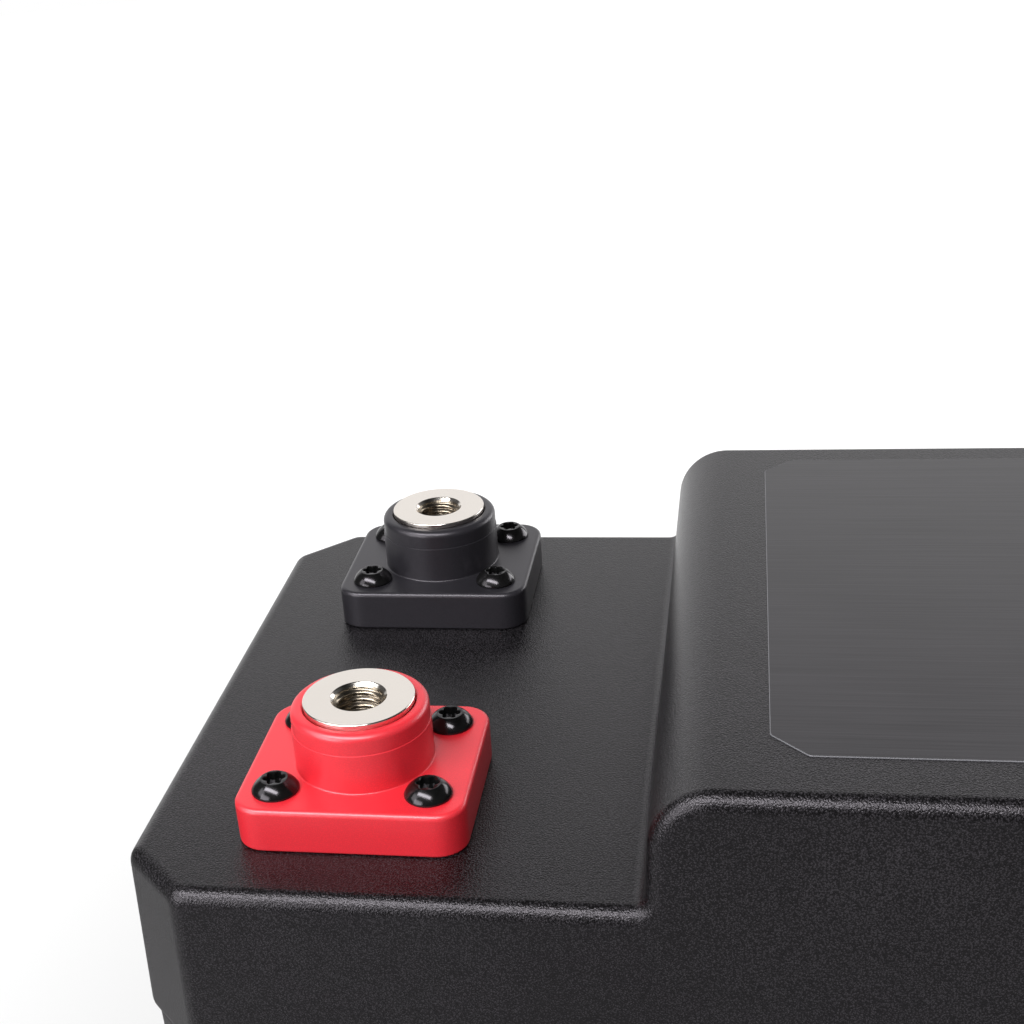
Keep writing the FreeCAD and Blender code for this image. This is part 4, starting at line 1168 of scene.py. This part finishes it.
# Each lamp: place, what it is turned to, width and height, all in metres.
LAMPS = {
    "overhead": ((-0.45, -0.70, 1.35), (-0.15, 0.0, 0.2), 1.5, 0.30),
    "side": ((-1.15, -0.42, 0.80), (-0.15, 0.0, 0.2), 0.5, 0.5),
    "front": ((-0.66, -0.60, 0.45), (-0.15, 0.0, 0.2), 0.5, 0.35),
    "fill": ((1.15, 1.20, 0.55), (0.1, 0.0, 0.12), 1.2, 0.8),
}
WHITE = (1, 1, 1, 1)
DIM_SHARE = 0.07
TOWARD_BACKDROP = (-0.259, 0.966, 0)
# Marks between which a level changes: how far a direction points toward the backdrop, how far it points up,
# and the distance in metres from the battery's middle.
BACKDROP_EDGE = (0.70, 0.87)
CEILING_EDGE = (0.60, 0.78)
LIFTED_FLOOR = (0.20, 0.80)
CAMERA_FROM_RED_BLOCK = (73.24 * MM, -257.46 * MM, 177.58 * MM)
CAMERA_YAW, CAMERA_PITCH, CAMERA_ROLL = -0.2071, -0.4994, -0.0854
CAMERA_SHIFT = (0.0605, 0.1348)


def area_lamp(name, place, target, width, height, power):
    lamp = bpy.data.lights.new(name, "AREA")
    lamp.shape = "RECTANGLE"
    lamp.size = width
    lamp.size_y = height
    lamp.energy = power
    obj = stand(name, lamp)
    obj.location = place
    obj.rotation_euler = (Vector(target) - Vector(place)).to_track_quat("-Z", "Y").to_euler()


def eased(tree, value, low, high, first, last):
    """Value eased from one level to another between two marks."""
    node = tree.nodes.new("ShaderNodeMapRange")
    node.interpolation_type = "SMOOTHSTEP"
    preset(node.inputs, From_Min=low, From_Max=high, To_Min=first, To_Max=last)
    tree.links.new(value, node.inputs["Value"])
    return node.outputs["Result"]


def backdrop_share(tree, direction):
    """White toward the backdrop behind the battery, dim toward the room in front and on the right."""
    level = vector_maths(tree, "NORMALIZE", vector_maths(tree, "MULTIPLY", direction, (1, 1, 0)))
    toward = vector_maths(tree, "DOT_PRODUCT", level, TOWARD_BACKDROP)
    return eased(tree, toward, *BACKDROP_EDGE, DIM_SHARE, 1.0)


def ray_kinds(tree):
    """Whether a ray comes from the camera, and whether it comes from a mirror or glass."""
    path = tree.nodes.new("ShaderNodeLightPath").outputs
    return path["Is Camera Ray"], maths(tree, "MAXIMUM", path["Is Glossy Ray"], path["Is Transmission Ray"])


class BATTERY_OT_studio(bpy.types.Operator):
    """Set the floor, the surroundings, the soft lamps and the camera"""

    bl_idname = "battery.studio"
    bl_label = "Studio"

    floor_reach = 4.0
    floor_drop = 0.02 * MM
    floor_roughness = 0.9
    floor_gloss = 0.1

    def execute(self, context):
        scene = context.scene
        levels = scene.battery_studio
        scene.view_settings.view_transform = "Standard"
        self.floor(levels)
        self.surroundings(scene, levels)
        for name, layout in LAMPS.items():
            area_lamp(name + "_lamp", *layout, getattr(levels, name))
        self.camera(scene, levels)
        return {"FINISHED"}

    def floor(self, levels):
        turning = Turning(around=64)
        turning.circles((self.floor_reach, CAD_BOX[0][2] - self.floor_drop))
        skin = Skin()
        skin.faces.append(tuple(skin.ring(turning.outlines[0])))
        mesh = skin_mesh("studio_floor", skin)
        material = bpy.data.materials.new("studio_floor")
        material.use_nodes = True
        tree = material.node_tree
        surface = tree.nodes["Principled BSDF"].inputs
        preset(surface, Base_Color=(*levels.floor, 1), Emission_Color=WHITE)
        preset(surface, Roughness=self.floor_roughness, Specular_IOR_Level=self.floor_gloss)
        place = object_place(tree)
        lift = eased(tree, vector_maths(tree, "LENGTH", place), *LIFTED_FLOOR, levels.floor_lift, 1.0)
        camera, mirrored = ray_kinds(tree)
        reflected = maths(tree, "MULTIPLY", mirrored, backdrop_share(tree, place))
        seen = maths(tree, "MAXIMUM", camera, reflected)
        tree.links.new(maths(tree, "MULTIPLY", seen, lift), surface["Emission Strength"])
        mesh.materials.append(material)
        floor = stand("studio_floor", mesh)

    def surroundings(self, scene, levels):
        world = bpy.data.worlds.new("White Surroundings")
        world.use_nodes = True
        tree = world.node_tree
        background = tree.nodes["Background"].inputs
        preset(background, Color=WHITE)
        direction = tree.nodes.new("ShaderNodeTexCoord").outputs["Generated"]
        fall = eased(tree, split(tree, direction)[2], *CEILING_EDGE, 1.0, levels.zenith)
        shown = maths(tree, "MULTIPLY", fall, backdrop_share(tree, direction))
        camera, mirrored = ray_kinds(tree)
        dim = maths(tree, "MULTIPLY", maths(tree, "SUBTRACT", 1.0, mirrored), levels.ambient)
        share = maths(tree, "MULTIPLY_ADD", mirrored, shown, dim)
        tree.links.new(maths(tree, "MAXIMUM", share, camera), background["Strength"])
        scene.world = world

    def camera(self, scene, levels):
        yaw, pitch, roll = CAMERA_YAW, CAMERA_PITCH, CAMERA_ROLL
        ahead = math.cos(pitch)
        forward = Vector((math.sin(yaw) * ahead, math.cos(yaw) * ahead, math.sin(pitch)))
        level = Vector((math.cos(yaw), -math.sin(yaw), 0))
        above = level.cross(forward)
        right = math.cos(roll) * level + math.sin(roll) * above
        up = math.cos(roll) * above - math.sin(roll) * level
        x, y = terminal_middle(*BLOCKS["positive_terminal_block"])
        dx, dy, dz = CAMERA_FROM_RED_BLOCK
        data = bpy.data.cameras.new("battery_camera")
        data.lens = levels.lens
        data.shift_x, data.shift_y = CAMERA_SHIFT
        data.clip_start = 0.01
        camera = stand("battery_camera", data)
        turn = Matrix((right, up, -forward)).transposed()
        camera.matrix_world = Matrix.Translation((x + dx, y + dy, DECK_Z + dz)) @ turn.to_4x4()
        scene.camera = camera


# Panel and registration

class BATTERY_PT_pieces(bpy.types.Panel):
    """Lists the battery's pieces and its studio"""

    bl_idname = "BATTERY_PT_pieces"
    bl_label = "Battery"
    bl_space_type = "VIEW_3D"
    bl_region_type = "UI"
    bl_category = "Battery"

    def draw(self, context):
        for operator in OPERATORS:
            self.layout.operator(operator.bl_idname)


OPERATORS = (
    BATTERY_OT_lid, BATTERY_OT_case, BATTERY_OT_blocks, BATTERY_OT_posts, BATTERY_OT_screws,
    BATTERY_OT_label, BATTERY_OT_inside, BATTERY_OT_studio,
)
GROUPS = {
    "battery_housing": HousingSizes, "battery_terminals": TerminalSizes, "battery_screws": ScrewSizes,
    "battery_colours": FinishColours, "battery_studio": StudioLevels,
}
CLASSES = tuple(GROUPS.values()) + OPERATORS + (BATTERY_PT_pieces,)


def register():
    for cls in CLASSES:
        bpy.utils.register_class(cls)
    for name, group in GROUPS.items():
        setattr(bpy.types.Scene, name, PointerProperty(type=group))


def unregister():
    for name in GROUPS:
        delattr(bpy.types.Scene, name)
    for cls in reversed(CLASSES):
        bpy.utils.unregister_class(cls)


def main():
    register()
    bpy.ops.battery.lid()
    bpy.ops.battery.case()
    bpy.ops.battery.blocks()
    bpy.ops.battery.posts()
    bpy.ops.battery.screws()
    bpy.ops.battery.label()
    bpy.ops.battery.inside()
    bpy.ops.battery.studio()


if __name__ == "__main__":
    main()
